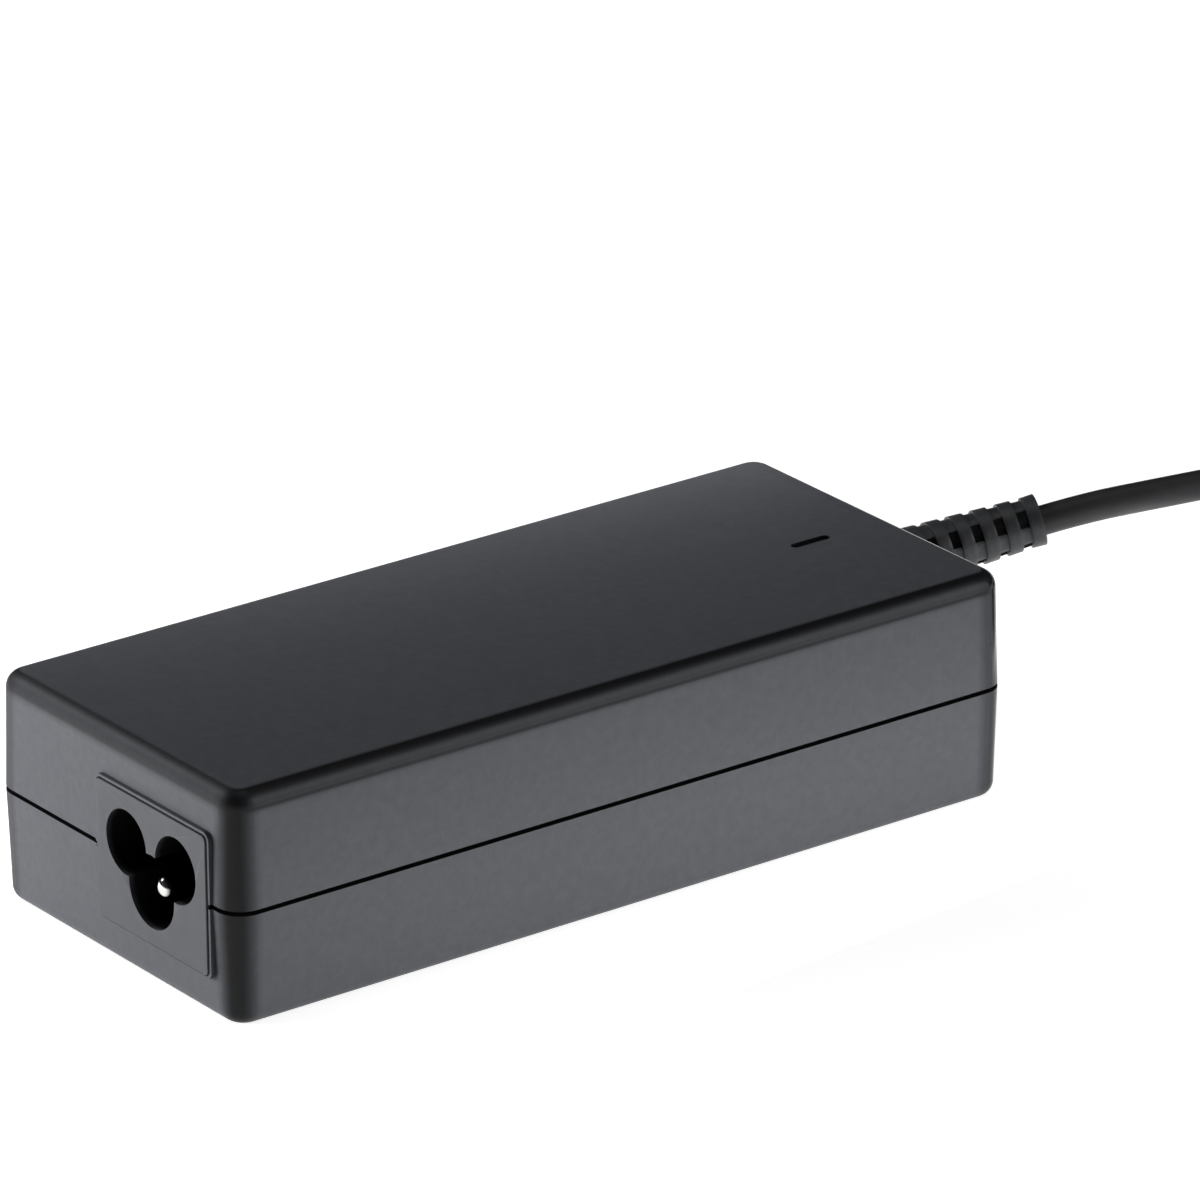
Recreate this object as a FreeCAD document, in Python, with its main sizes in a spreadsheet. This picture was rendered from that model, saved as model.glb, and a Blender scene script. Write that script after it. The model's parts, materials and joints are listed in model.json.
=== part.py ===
"""Laptop power adapter: a moulded two-shell case with a three-pin mains inlet,
its circuit, a low-voltage cord in a ribbed strain relief, and an angled barrel plug.

Frame: millimetres, +Z up, +Y from the mains inlet towards the cord, +X across.
The origin is on the surface that the case stands on, under the middle of the case.
"""
import FreeCAD, Part
import math
import os
import Sketcher

from FreeCAD import Rotation, Vector

os.makedirs("parts", exist_ok=True)
doc = FreeCAD.newDocument("power_adapter")


# Driving dimensions

SIZES = [
    # the case
    ("case_length", 113.0, "case, between its end faces at the parting line"),
    ("case_width", 49.3, "case, between its long sides at the parting line"),
    ("case_height", 29.1, "case, underside to top"),
    ("wall", 2.0, "shell wall, floor and ceiling"),
    ("seam_height", 14.4, "parting line above the underside"),
    ("seam_gap", 0.55, "groove that shows along the parting line"),
    ("corner_radius", 3.3, "upright corners of the case"),
    ("top_rounding", 2.1, "edge round the top face"),
    ("bottom_rounding", 1.8, "edge round the underside"),
    ("top_draft", 1.6, "lean of the upper walls, degrees"),
    ("bottom_draft", 1.9, "lean of the lower walls, degrees"),
    ("cavity_corner", 1.2, "inner upright corners"),
    ("tongue_thick", 0.9, "tongue of the lower shell"),
    ("tongue_height", 1.5, "tongue above the parting line"),
    ("tongue_clearance", 0.1, "between the tongue and its rebate"),
    ("ledge_width", 2.1, "ledges that carry the circuit board"),
    ("ledge_height", 2.9, "ledges above the floor of the lower shell"),
    # the mains inlet
    ("inlet_margin", 4.35, "case side to the raised frame round the inlet"),
    ("frame_proud", 0.35, "raised frame, in front of the end face"),
    ("frame_border", 0.5, "raised frame, round the inlet's front plate"),
    ("plate_proud", 0.2, "inlet's front plate, in front of the raised frame"),
    ("plate_gap", 0.15, "groove between the front plate and the raised frame"),
    ("plate_border", 0.95, "front plate, round the inlet's block"),
    ("plate_corner", 0.65, "corners of the front plate"),
    ("pin_spacing", 10.0, "line pin to neutral pin"),
    ("lobe_radius", 4.1, "recess round the line and neutral pins"),
    ("earth_lobe_radius", 4.6, "recess round the earth pin"),
    ("lobe_rise", 2.33, "line and neutral pins above the inlet's middle"),
    ("earth_drop", 2.07, "earth pin below the inlet's middle"),
    ("block_wall_side", 1.05, "inlet block beside the recess"),
    ("block_wall_end", 1.2, "inlet block above and below the recess"),
    ("block_depth", 15.0, "inlet block behind its front face"),
    ("recess_depth", 12.6, "recess behind the front face"),
    ("inlet_clearance", 0.1, "between the inlet block and the shells"),
    ("collar_border", 1.2, "collar behind the end wall, round the block"),
    ("collar_thick", 1.4, "collar behind the end wall"),
    ("collar_gap", 0.4, "between the collar and the end wall"),
    ("pin_radius", 1.18, "line and neutral pins"),
    ("earth_pin_radius", 1.45, "earth pin"),
    ("pin_setback", 5.2, "line and neutral pin tips behind the front face"),
    ("earth_setback", 1.15, "earth pin tip behind the front face"),
    ("pin_shoulder", 0.3, "pins inside the block, thicker than their free ends by"),
    ("pin_tail", 3.5, "pins behind the inlet block"),
    ("pin_tail_radius", 0.95, "pins behind the inlet block"),
    ("lead_wire_radius", 0.8, "insulated wires inside the case"),
    ("wire_reach", 3.2, "wires beyond the pin tails before they turn down"),
    # the light
    ("light_offset", 2.6, "light slot from the middle line"),
    ("light_end_margin", 13.1, "light slot's middle from the cord end"),
    ("slot_length", 5.7, "light slot along the case"),
    ("slot_width", 1.3, "light slot across"),
    ("light_clearance", 0.06, "light pipe to the slot's sides"),
    ("light_recess", 0.5, "light pipe below the top face"),
    ("light_flange", 1.2, "light pipe's flange, beyond the slot on each side"),
    ("light_flange_thick", 1.0, "light pipe's flange"),
    ("led_radius", 1.5, "indicator light"),
    ("led_height", 4.2, "indicator light, below its dome"),
    ("led_gap", 0.3, "indicator light to the light pipe"),
    # the circuit board
    ("board_thick", 1.6, "circuit board"),
    ("board_side_gap", 0.6, "circuit board to the side walls"),
    ("board_end_gap", 1.3, "circuit board to the end walls"),
    ("notch_gap", 0.8, "circuit board to the inlet"),
    ("part_margin", 1.3, "components to the side edges of the board"),
    ("part_gap", 2.0, "between components along the board"),
    ("first_gap", 1.6, "first component to the board's front edge"),
    ("lead_radius", 0.35, "component leads"),
    ("fuse_width", 8.4, "fuse across the board"),
    ("fuse_length", 4.0, "fuse along the board"),
    ("fuse_height", 7.6, "fuse"),
    ("varistor_radius", 4.8, "surge absorber disc"),
    ("varistor_thick", 3.8, "surge absorber disc"),
    ("disc_stand", 1.6, "discs above the board"),
    ("filter_cap_width", 17.5, "mains filter capacitor across"),
    ("filter_cap_length", 8.5, "mains filter capacitor along"),
    ("filter_cap_height", 14.5, "mains filter capacitor"),
    ("bridge_width", 14.5, "bridge rectifier across"),
    ("bridge_length", 3.5, "bridge rectifier along"),
    ("bridge_height", 11.0, "bridge rectifier body"),
    ("bridge_stand", 2.0, "bridge rectifier above the board"),
    ("choke_width", 16.0, "filter choke core across"),
    ("choke_depth", 6.0, "filter choke core along"),
    ("choke_height", 14.0, "filter choke core"),
    ("choke_leg", 4.0, "filter choke core's legs"),
    ("choke_winding", 1.7, "filter choke winding"),
    ("choke_base_thick", 1.0, "filter choke's base"),
    ("winding_gap", 0.1, "windings to cores and flanges"),
    ("bulk_radius", 8.0, "main storage capacitor"),
    ("bulk_length", 28.0, "main storage capacitor"),
    ("lying_gap", 0.1, "main storage capacitor above the board"),
    ("sink_width", 18.0, "heat sinks across"),
    ("sink_thick", 1.5, "heat sinks"),
    ("sink_height", 16.0, "heat sinks"),
    ("device_width", 10.0, "power semiconductors"),
    ("device_thick", 4.4, "power semiconductor bodies"),
    ("device_height", 9.0, "power semiconductor bodies"),
    ("device_stand", 1.4, "power semiconductors above the board"),
    ("tab_thick", 1.3, "power semiconductor tabs"),
    ("tab_height", 5.4, "power semiconductor tabs above the body"),
    ("screw_radius", 1.4, "heat sink screws"),
    ("screw_head_radius", 2.6, "heat sink screw heads"),
    ("screw_head_thick", 1.8, "heat sink screw heads"),
    ("screw_clearance", 0.1, "round the heat sink screws"),
    ("core_width", 20.0, "transformer core across"),
    ("core_depth", 12.0, "transformer core along"),
    ("core_height", 14.4, "transformer core, both halves"),
    ("core_back", 3.0, "transformer core's backs"),
    ("core_leg", 3.0, "transformer core's outer legs"),
    ("core_middle", 6.0, "transformer core's middle leg"),
    ("core_stand", 2.0, "transformer core above the board"),
    ("bobbin_wall", 0.8, "transformer former"),
    ("bobbin_gap", 0.15, "transformer former to the core"),
    ("bobbin_overhang", 4.4, "transformer former beyond the core along the board"),
    ("rail_length", 1.8, "feet of the transformer former along the board"),
    ("winding_thick", 1.8, "transformer winding"),
    ("tape_thick", 0.3, "tape round the transformer winding"),
    ("bridge_cap_radius", 3.6, "noise suppression capacitor disc"),
    ("bridge_cap_thick", 3.0, "noise suppression capacitor disc"),
    ("coupler_width", 6.4, "optical coupler across"),
    ("coupler_length", 4.6, "optical coupler along"),
    ("coupler_height", 3.6, "optical coupler"),
    ("chip_width", 4.0, "controller chip across"),
    ("chip_length", 5.0, "controller chip along"),
    ("chip_height", 1.4, "controller chip under the board"),
    ("small_cap_radius", 2.5, "supply capacitor of the controller"),
    ("small_cap_height", 11.0, "supply capacitor of the controller"),
    ("output_cap_radius", 4.5, "output capacitors"),
    ("output_cap_height", 15.0, "output capacitors"),
    ("inductor_radius", 6.0, "output inductor"),
    ("inductor_hole", 2.6, "output inductor's ring, its hole"),
    ("inductor_height", 6.0, "output inductor"),
    ("inductor_core_border", 1.1, "output inductor's core inside its winding"),
    ("sheet_thick", 0.3, "insulating sheet on the floor"),
    ("sheet_gap", 0.5, "insulating sheet to the ledges"),
    ("spreader_thick", 0.6, "heat spreaders"),
    ("spreader_side_gap", 1.6, "upper heat spreader to the side walls"),
    ("spreader_front", 17.0, "upper heat spreader to the inlet end wall"),
    ("spreader_back", 20.0, "upper heat spreader to the cord end wall"),
    # the strain relief at the case
    ("boot_side", 10.25, "strain relief's axis from the case side"),
    ("boot_length", 32.0, "strain relief outside the case, along its axis"),
    ("boot_bend", 28.5, "turn of its axis from the case to its tip, degrees"),
    ("boot_lean", 28.0, "plane of that bend above the level, degrees"),
    ("boot_base_radius", 4.4, "strain relief at the case"),
    ("boot_tip_radius", 3.15, "strain relief at its tip"),
    ("boot_tip_flare", 0.14, "end of the tip ring, beyond the taper"),
    ("boot_collar", 3.45, "plain ring at the case"),
    ("boot_pitch", 3.18, "from rib to rib"),
    ("boot_slot", 1.4, "gap between ribs"),
    ("boot_step", 0.26, "ribs above the webs between them"),
    ("boot_slots", 9, "number of gaps"),
    ("boot_core_radius", 2.0, "window floors from the axis"),
    ("boot_window", 2.2, "windows across"),
    ("boot_window_rise", 35.0, "first row of windows above the level, degrees"),
    ("boot_overlap", 0.3, "webs into the ribs beside them"),
    ("boot_neck_radius", 3.6, "strain relief in the end wall"),
    ("boot_anchor_radius", 5.2, "strain relief's flange inside the end wall"),
    ("boot_anchor_thick", 1.6, "strain relief's flange inside the end wall"),
    ("boot_clearance", 0.12, "strain relief to the end wall"),
    ("boot_anchor_gap", 0.3, "strain relief's flange to the leaning inner face of the end wall"),
    # the cord
    ("cord_diameter", 3.8, "low-voltage cord"),
    ("exit_drop", 0.28, "cord below the strain relief's axis"),
    ("coil_radius", 19.6, "coil, middle of its turns"),
    ("coil_turns", 8.5, "turns in the coil"),
    ("coil_layers", 4, "layers in the coil"),
    ("coil_pitch", 4.3, "from turn to turn and from layer to layer"),
    ("tie_thick", 0.8, "strap round the coil"),
    ("tie_width", 9.0, "strap round the coil"),
    ("tie_gap", 0.12, "strap to the coil and to the surface"),
    # the plug
    ("barrel_radius", 2.75, "plug barrel"),
    ("barrel_length", 11.0, "plug barrel with its tip ring"),
    ("barrel_wall", 0.4, "plug barrel's metal sleeve"),
    ("barrel_slit", 0.4, "slit in the sleeve"),
    ("tip_ring", 1.4, "insulating tip ring"),
    ("bore_radius", 1.25, "hole in the plug"),
    ("contact_wall", 0.35, "plug's inner contact"),
    ("collar_radius", 4.75, "plug collar"),
    ("collar_length", 1.7, "plug collar"),
    ("neck_radius", 4.0, "plug neck"),
    ("neck_length", 1.2, "plug neck"),
    ("grip_radius", 5.65, "plug grip"),
    ("grip_length", 14.6, "plug grip"),
    ("grip_rounding", 2.2, "plug grip's closed end"),
    ("stem_offset", 5.6, "plug stem's axis from the closed end"),
    ("stem_radius", 4.15, "plug stem at the grip"),
    ("stem_tip_radius", 3.0, "plug stem at the cord"),
    ("stem_length", 25.5, "plug stem from the barrel's axis"),
    ("stem_start", 13.2, "first gap of the stem from the barrel's axis"),
    ("stem_pitch", 3.0, "from rib to rib on the stem"),
    ("stem_slot", 0.6, "gap between ribs on the stem"),
    ("stem_step", 0.45, "depth of the gaps on the stem"),
    ("stem_slots", 4, "number of gaps on the stem"),
    ("gusset_radius", 3.9, "leaning swell between the stem and the grip"),
    ("gusset_lean", 25.0, "lean of the swell, degrees"),
    ("gusset_length", 5.5, "swell along its own axis"),
    ("gusset_end", 7.7, "swell's end on the stem, from the barrel's axis"),
    ("cap_line", 2.7, "fine groove round the grip, from its closed end"),
    ("cap_line_depth", 0.15, "fine groove round the grip"),
    ("lock_window", 1.1, "square window in the barrel's sleeve"),
    ("lock_window_start", 0.7, "square window from the tip ring"),
]

sheet = doc.addObject("Spreadsheet::Sheet", "Sizes")
for row, (alias, amount, meaning) in enumerate(SIZES, start=1):
    sheet.set("A%d" % row, meaning)
    sheet.set("B%d" % row, str(amount))
    sheet.setAlias("B%d" % row, alias)
doc.recompute()


class Term:
    """A size, or a sum worked out from sizes: its formula for the document, and its value now."""

    def __init__(self, formula, value):
        self.formula = formula
        self.value = float(value)

    def __add__(self, other):
        return Term("(%s + %s)" % (self.formula, formula(other)), self.value + value(other))

    def __radd__(self, other):
        return Term("(%s + %s)" % (formula(other), self.formula), value(other) + self.value)

    def __sub__(self, other):
        return Term("(%s - %s)" % (self.formula, formula(other)), self.value - value(other))

    def __rsub__(self, other):
        return Term("(%s - %s)" % (formula(other), self.formula), value(other) - self.value)

    def __mul__(self, other):
        return Term("(%s * %s)" % (self.formula, formula(other)), self.value * value(other))

    __rmul__ = __mul__

    def __truediv__(self, other):
        return Term("(%s / %s)" % (self.formula, formula(other)), self.value / value(other))

    def __neg__(self):
        return Term("(0 - %s)" % self.formula, -self.value)


def formula(term):
    return term.formula if isinstance(term, Term) else repr(float(term))


def value(term):
    return term.value if isinstance(term, Term) else float(term)


class Sizes:
    """The sheet's sizes by name."""

    def __getattr__(self, alias):
        return Term("Sizes." + alias, sheet.get(alias))


S = Sizes()


def bind(thing, prop, term):
    thing.setExpression(prop, formula(term))


def at(thing, x, y, z):
    """Places a piece by its point in the case's own lengths, where y is 0 at mid case."""
    bind(thing, "Placement.Base.x", x)
    bind(thing, "Placement.Base.y", y + MIDDLE_Y)
    bind(thing, "Placement.Base.z", z)
    return thing


# Sketches

def body(name, x=0, y=0, z=0):
    made = doc.addObject("PartDesign::Body", name)
    made.Label = name
    return at(made, x, y, z)


def sketch(owner, name, role, offset=0, turn=None):
    """A sketch on one of its body's own planes, moved along that plane's normal."""
    made = owner.newObject("Sketcher::SketchObject", owner.Label + "_" + name)
    plane = next(f for f in owner.Origin.OriginFeatures if f.Role == role)
    made.AttachmentSupport = [(plane, "")]
    made.MapMode = "FlatFace"
    if turn:
        made.AttachmentOffset = FreeCAD.Placement(Vector(0, 0, 0), turn)
    for axis, part in zip("xyz", offset if isinstance(offset, tuple) else (0, 0, offset)):
        if isinstance(part, Term) or part:
            bind(made, "AttachmentOffset.Base." + axis, part)
    return made


def hold(drawing, kind, references, term):
    """A dimension of a sketch, tied to the sheet."""
    number = drawing.addConstraint(Sketcher.Constraint(kind, *references, value(term)))
    if isinstance(term, Term):
        bind(drawing, "Constraints[%d]" % number, term)


def pin_point(drawing, geometry, end, x, y):
    """Fixes one point of a sketch at (x, y)."""
    for kind, axis, part in (("DistanceX", -2, x), ("DistanceY", -1, y)):
        if isinstance(part, Term):
            hold(drawing, kind, (-1, 1, geometry, end), part)
        elif part:
            hold(drawing, kind, (-1, 1, geometry, end), part)
        else:
            drawing.addConstraint(Sketcher.Constraint("PointOnObject", geometry, end, axis))


def polygon(drawing, corners):
    """A closed outline through the corners, each a pair of terms."""
    spots = [Vector(value(x), value(y), 0) for x, y in corners]
    following = spots[1:] + spots[:1]
    lines = drawing.addGeometry([Part.LineSegment(a, b) for a, b in zip(spots, following)])
    joints = zip(lines, lines[1:] + lines[:1])
    drawing.addConstraint([Sketcher.Constraint("Coincident", a, 2, b, 1) for a, b in joints])
    for line, (x, y) in zip(lines, corners):
        pin_point(drawing, line, 1, x, y)


def rectangle(drawing, x, y, across, along):
    """A rectangle by its middle and its two sides."""
    left, right = x - across / 2, x + across / 2
    low, top = y - along / 2, y + along / 2
    polygon(drawing, [(left, low), (right, low), (right, top), (left, top)])


def circle(drawing, x, y, radius):
    made = drawing.addGeometry(Part.Circle(Vector(value(x), value(y), 0), Vector(0, 0, 1), value(radius)))
    hold(drawing, "Radius", (made,), radius)
    pin_point(drawing, made, 3, x, y)


def rounded_rectangle(drawing, x, y, across, along, radius):
    """A rectangle by its middle and its two sides, with tangent corner arcs."""
    half_x, half_y, r = value(across) / 2, value(along) / 2, value(radius)
    mid = Vector(value(x), value(y), 0)
    quarter = math.pi / 2
    sides = [
        Part.LineSegment(mid + Vector(r - half_x, -half_y, 0), mid + Vector(half_x - r, -half_y, 0)),
        Part.LineSegment(mid + Vector(half_x, r - half_y, 0), mid + Vector(half_x, half_y - r, 0)),
        Part.LineSegment(mid + Vector(half_x - r, half_y, 0), mid + Vector(r - half_x, half_y, 0)),
        Part.LineSegment(mid + Vector(-half_x, half_y - r, 0), mid + Vector(-half_x, r - half_y, 0)),
    ]
    arcs = []
    for step, (sx, sy) in enumerate(((1, -1), (1, 1), (-1, 1), (-1, -1)), start=-1):
        centre = mid + Vector(sx * (half_x - r), sy * (half_y - r), 0)
        ring = Part.Circle(centre, Vector(0, 0, 1), r)
        arcs.append(Part.ArcOfCircle(ring, step * quarter, (step + 1) * quarter))
    low, right, top, left = drawing.addGeometry(sides)
    corners = drawing.addGeometry(arcs)
    rules = []
    for before, corner, after in zip((low, right, top, left), corners, (right, top, left, low)):
        rules.append(Sketcher.Constraint("Tangent", before, 2, corner, 1))
        rules.append(Sketcher.Constraint("Tangent", corner, 2, after, 1))
    rules += [Sketcher.Constraint("Horizontal", low), Sketcher.Constraint("Horizontal", top)]
    rules += [Sketcher.Constraint("Vertical", left), Sketcher.Constraint("Vertical", right)]
    rules += [Sketcher.Constraint("Equal", a, b) for a, b in zip(corners, corners[1:])]
    drawing.addConstraint(rules)
    hold(drawing, "Radius", (corners[0],), radius)
    hold(drawing, "DistanceX", (left, 1, right, 1), across)
    hold(drawing, "DistanceY", (low, 1, top, 1), along)
    hold(drawing, "DistanceX", (-1, 1, left, 1), x - across / 2)
    hold(drawing, "DistanceY", (-1, 1, low, 1), y - along / 2)


def stadium(drawing, long, wide):
    """A slot with round ends along the sketch's second axis, round its origin."""
    r, reach = value(wide) / 2, (value(long) - value(wide)) / 2
    lines = drawing.addGeometry([
        Part.LineSegment(Vector(r, -reach, 0), Vector(r, reach, 0)),
        Part.LineSegment(Vector(-r, reach, 0), Vector(-r, -reach, 0)),
    ])
    ends = []
    for sign, first in ((1, 0), (-1, math.pi)):
        ring = Part.Circle(Vector(0, sign * reach, 0), Vector(0, 0, 1), r)
        ends.append(drawing.addGeometry(Part.ArcOfCircle(ring, first, first + math.pi)))
    drawing.addConstraint([
        Sketcher.Constraint("Tangent", lines[0], 2, ends[0], 1),
        Sketcher.Constraint("Tangent", ends[0], 2, lines[1], 1),
        Sketcher.Constraint("Tangent", lines[1], 2, ends[1], 1),
        Sketcher.Constraint("Tangent", ends[1], 2, lines[0], 1),
        Sketcher.Constraint("Vertical", lines[0]),
    ])
    hold(drawing, "Radius", (ends[0],), wide / 2)
    pin_point(drawing, ends[0], 3, 0, (long - wide) / 2)
    pin_point(drawing, ends[1], 3, 0, (wide - long) / 2)


# Features

def volume(owner):
    return owner.Shape.Volume if not owner.Shape.isNull() else 0.0


def grow(owner, drawing, name, length, reverse=False, taper=None, middle=False):
    """Adds material from a sketch."""
    made = owner.newObject("PartDesign::Pad", owner.Label + "_" + name)
    made.Profile = drawing
    bind(made, "Length", length)
    made.Reversed = reverse
    made.Midplane = middle
    if taper is not None:
        bind(made, "TaperAngle", -taper)
    return finish(owner, made)


def sink(owner, drawing, name, length, reverse=False, taper=None, middle=False):
    """Takes material away inside a sketch, and makes sure that some went."""
    before = volume(owner)
    made = owner.newObject("PartDesign::Pocket", owner.Label + "_" + name)
    made.Profile = drawing
    bind(made, "Length", length)
    made.Reversed = reverse
    made.Midplane = middle
    if taper is not None:
        bind(made, "TaperAngle", -taper)
    finish(owner, made)
    if volume(owner) > before - 1e-6:
        raise RuntimeError(made.Name + " takes nothing away")
    return made


def revolve(owner, drawing, name, axis="V_Axis"):
    """Adds the solid that a sketch sweeps round one of its own axes."""
    made = owner.newObject("PartDesign::Revolution", owner.Label + "_" + name)
    made.Profile = drawing
    made.ReferenceAxis = (drawing, [axis])
    made.Angle = 360
    return finish(owner, made)


def blend(owner, name, radius, chosen, kind="Fillet"):
    """Rounds or bevels the edges of the body that a test chooses."""
    base = owner.Tip
    names = ["Edge%d" % n for n, edge in enumerate(base.Shape.Edges, start=1) if chosen(edge)]
    made = owner.newObject("PartDesign::" + kind, owner.Label + "_" + name)
    made.Base = (base, names)
    bind(made, "Radius" if kind == "Fillet" else "Size", radius)
    return finish(owner, made)


def finish(owner, made):
    owner.Tip = made
    doc.recompute()
    return made


def level(edge, axis, place):
    """Whether the whole edge lies at one place along an axis."""
    box = edge.BoundBox
    low, high = getattr(box, axis + "Min"), getattr(box, axis + "Max")
    return abs(low - value(place)) < NEAR and abs(high - value(place)) < NEAR


def runs(edge, axis):
    """Whether the edge is straight along an axis."""
    if edge.Curve.TypeId != "Part::GeomLine":
        return False
    return abs(getattr(edge.tangentAt(edge.FirstParameter), axis)) > 0.999


# Plain solids

def brick(name, x, y, z, across, along, tall):
    """A block by the middle of its width, its front end and its underside."""
    made = doc.addObject("Part::Box", name)
    made.Label = name
    bind(made, "Length", across)
    bind(made, "Width", along)
    bind(made, "Height", tall)
    return at(made, x - across / 2, y, z)


TURNS = {
    "+Z": Rotation(),
    "+Y": Rotation(Vector(1, 0, 0), -90),
    "-Y": Rotation(Vector(1, 0, 0), 90),
}


def rod(name, x, y, z, radius, length, axis="+Z"):
    """A round bar from the middle of one end face."""
    made = doc.addObject("Part::Cylinder", name)
    made.Label = name
    made.Placement = FreeCAD.Placement(Vector(0, 0, 0), TURNS[axis])
    bind(made, "Radius", radius)
    bind(made, "Height", length)
    return at(made, x, y, z)


def ball(name, x, y, z, radius):
    made = doc.addObject("Part::Sphere", name)
    made.Label = name
    bind(made, "Radius", radius)
    return at(made, x, y, z)


def join(name, pieces):
    made = doc.addObject("Part::MultiFuse", name)
    made.Label = name
    made.Shapes = pieces
    return made


def carve(name, base, tool):
    made = doc.addObject("Part::Cut", name)
    made.Label = name
    made.Base = base
    made.Tool = tool
    return made


def leads(name, spots, low, high, radius=None):
    """Round component leads between two levels."""
    thin = radius if radius is not None else S.lead_radius
    return [rod("%s_lead_%d" % (name, n), x, y, low, thin, high - low) for n, (x, y) in enumerate(spots)]


def tube_path(points):
    """Straight runs through the points, with the largest tangent arc that both runs allow."""
    edges = []
    radii = []
    start = points[0]
    for before, corner, after in zip(points, points[1:], points[2:]):
        back, ahead = (before - corner), (after - corner)
        shorter = min(back.Length, ahead.Length)
        turn = math.pi - back.getAngle(ahead)
        reach = 0.45 * shorter
        radius = reach / math.tan(turn / 2)
        radii.append(radius)
        first = corner + back.normalize() * reach
        last = corner + ahead.normalize() * reach
        half = (first + last) / 2
        inward = (half - corner).normalize()
        top = corner + inward * (radius / math.cos(turn / 2) - radius)
        edges.append(Part.LineSegment(start, first).toShape())
        edges.append(Part.Arc(first, top, last).toShape())
        start = last
    edges.append(Part.LineSegment(start, points[-1]).toShape())
    return Part.Wire(edges), radii


def swept(path, radius):
    """A round tube along a path of lines and arcs."""
    first = path.OrderedEdges[0]
    start = first.valueAt(first.FirstParameter)
    ahead = first.tangentAt(first.FirstParameter)
    ring = Part.Wire([Part.Circle(start, ahead, radius).toShape()])
    shell = Part.BRepOffsetAPI.MakePipeShell(path)
    shell.add(ring, False, False)
    shell.build()
    shell.makeSolid()
    return shell.shape()


def free_piece(name, shape):
    made = doc.addObject("Part::Feature", name)
    made.Label = name
    made.Shape = shape
    return made


def wire_run(name, points, radius):
    """A short insulated wire inside the case, through points given as terms."""
    spots = [Vector(value(x), value(y + MIDDLE_Y), value(z)) for x, y, z in points]
    path, _ = tube_path(spots)
    return free_piece(name, swept(path, value(radius)))


# Places worked out from the sizes

NEAR = 1e-4
FACE_PROUD = S.frame_proud + S.plate_proud
MIDDLE_Y = FACE_PROUD / 2

front = -S.case_length / 2
back = S.case_length / 2
seam = S.seam_height
lower_rim = seam - S.seam_gap / 2
upper_rim = seam + S.seam_gap / 2
ceiling = S.case_height - S.wall
inner_width = S.case_width - 2 * S.wall
inner_length = S.case_length - 2 * S.wall
tongue_inset = S.wall - S.tongue_thick

lobes_top = S.lobe_rise + S.lobe_radius
lobes_bottom = S.earth_drop + S.earth_lobe_radius
block_width = S.pin_spacing + 2 * S.lobe_radius + 2 * S.block_wall_side
block_height = lobes_top + lobes_bottom + 2 * S.block_wall_end
plate_width = block_width + 2 * S.plate_border
plate_height = block_height + 2 * S.plate_border
frame_width = plate_width + 2 * S.frame_border
frame_height = plate_height + 2 * S.frame_border
inlet_x = S.case_width / 2 - S.inlet_margin - frame_width / 2
inlet_z = seam + (lobes_top - lobes_bottom) / 2
inlet_front = front - FACE_PROUD
inlet_back = inlet_front + S.block_depth
pins_end = inlet_back + S.pin_tail
PINS = {
    "line": (-S.pin_spacing / 2, S.lobe_rise, S.pin_radius, S.pin_setback, S.lobe_radius),
    "neutral": (S.pin_spacing / 2, S.lobe_rise, S.pin_radius, S.pin_setback, S.lobe_radius),
    "earth": (0, -S.earth_drop, S.earth_pin_radius, S.earth_setback, S.earth_lobe_radius),
}

boot_x = S.boot_side - S.case_width / 2
board_low = S.wall + S.ledge_height
board_top = board_low + S.board_thick
board_width = inner_width - 2 * S.board_side_gap
board_front = front + S.wall + S.board_end_gap
board_back = back - S.wall - S.board_end_gap
notch_x = inlet_x - block_width / 2 - S.collar_border - S.notch_gap
notch_y = inlet_back + S.notch_gap
left_edge = S.part_margin - board_width / 2
right_edge = board_width / 2 - S.part_margin

light_y = back - S.light_end_margin


# The two shells

def shell(name, rim, depth, draft, rounding, upward):
    """One half of the case, open at the parting line, with its part of the inlet's frame."""
    half = body(name)
    outline = sketch(half, "outline", "XY_Plane", rim)
    rounded_rectangle(outline, 0, 0, S.case_width, S.case_length, S.corner_radius)
    grow(half, outline, "block", depth, reverse=not upward, taper=draft)
    far = S.case_height if upward else 0
    blend(half, "rounding", rounding, lambda edge: level(edge, "Z", far))

    frame = sketch(half, "frame", "XZ_Plane", S.frame_proud - front)
    rounded_rectangle(frame, inlet_x, inlet_z, frame_width, frame_height, S.plate_corner + S.frame_border)
    grow(half, frame, "inlet_frame", S.frame_proud + S.wall / 2, reverse=True)
    trim = sketch(half, "trim", "XY_Plane", rim)
    rectangle(trim, inlet_x, front, frame_width * 2, S.wall * 4)
    sink(half, trim, "seam_face", frame_height, reverse=not upward)

    hollow = sketch(half, "hollow", "XY_Plane", rim)
    rounded_rectangle(hollow, 0, 0, inner_width, inner_length, S.cavity_corner)
    sink(half, hollow, "cavity", depth - S.wall, reverse=upward, taper=draft)
    return half


def openings(half):
    """The inlet's opening and the strain relief's hole, through the end walls."""
    seat = sketch(half, "plate_seat", "XZ_Plane", S.frame_proud - front)
    groove = 2 * S.plate_gap
    rounded_rectangle(
        seat, inlet_x, inlet_z, plate_width + groove, plate_height + groove, S.plate_corner + S.plate_gap,
    )
    sink(half, seat, "plate_pocket", S.frame_proud)
    mouth = sketch(half, "inlet_opening", "XZ_Plane", S.frame_proud - front)
    around = 2 * S.inlet_clearance
    rounded_rectangle(mouth, inlet_x, inlet_z, block_width + around, block_height + around, S.plate_corner)
    sink(half, mouth, "inlet_hole", S.frame_proud + S.wall * 2)
    exit_hole = sketch(half, "cord_opening", "XZ_Plane", -back)
    circle(exit_hole, boot_x, seam, S.boot_neck_radius + S.boot_clearance)
    sink(half, exit_hole, "cord_hole", S.wall * 2, reverse=True)
    return half


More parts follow.
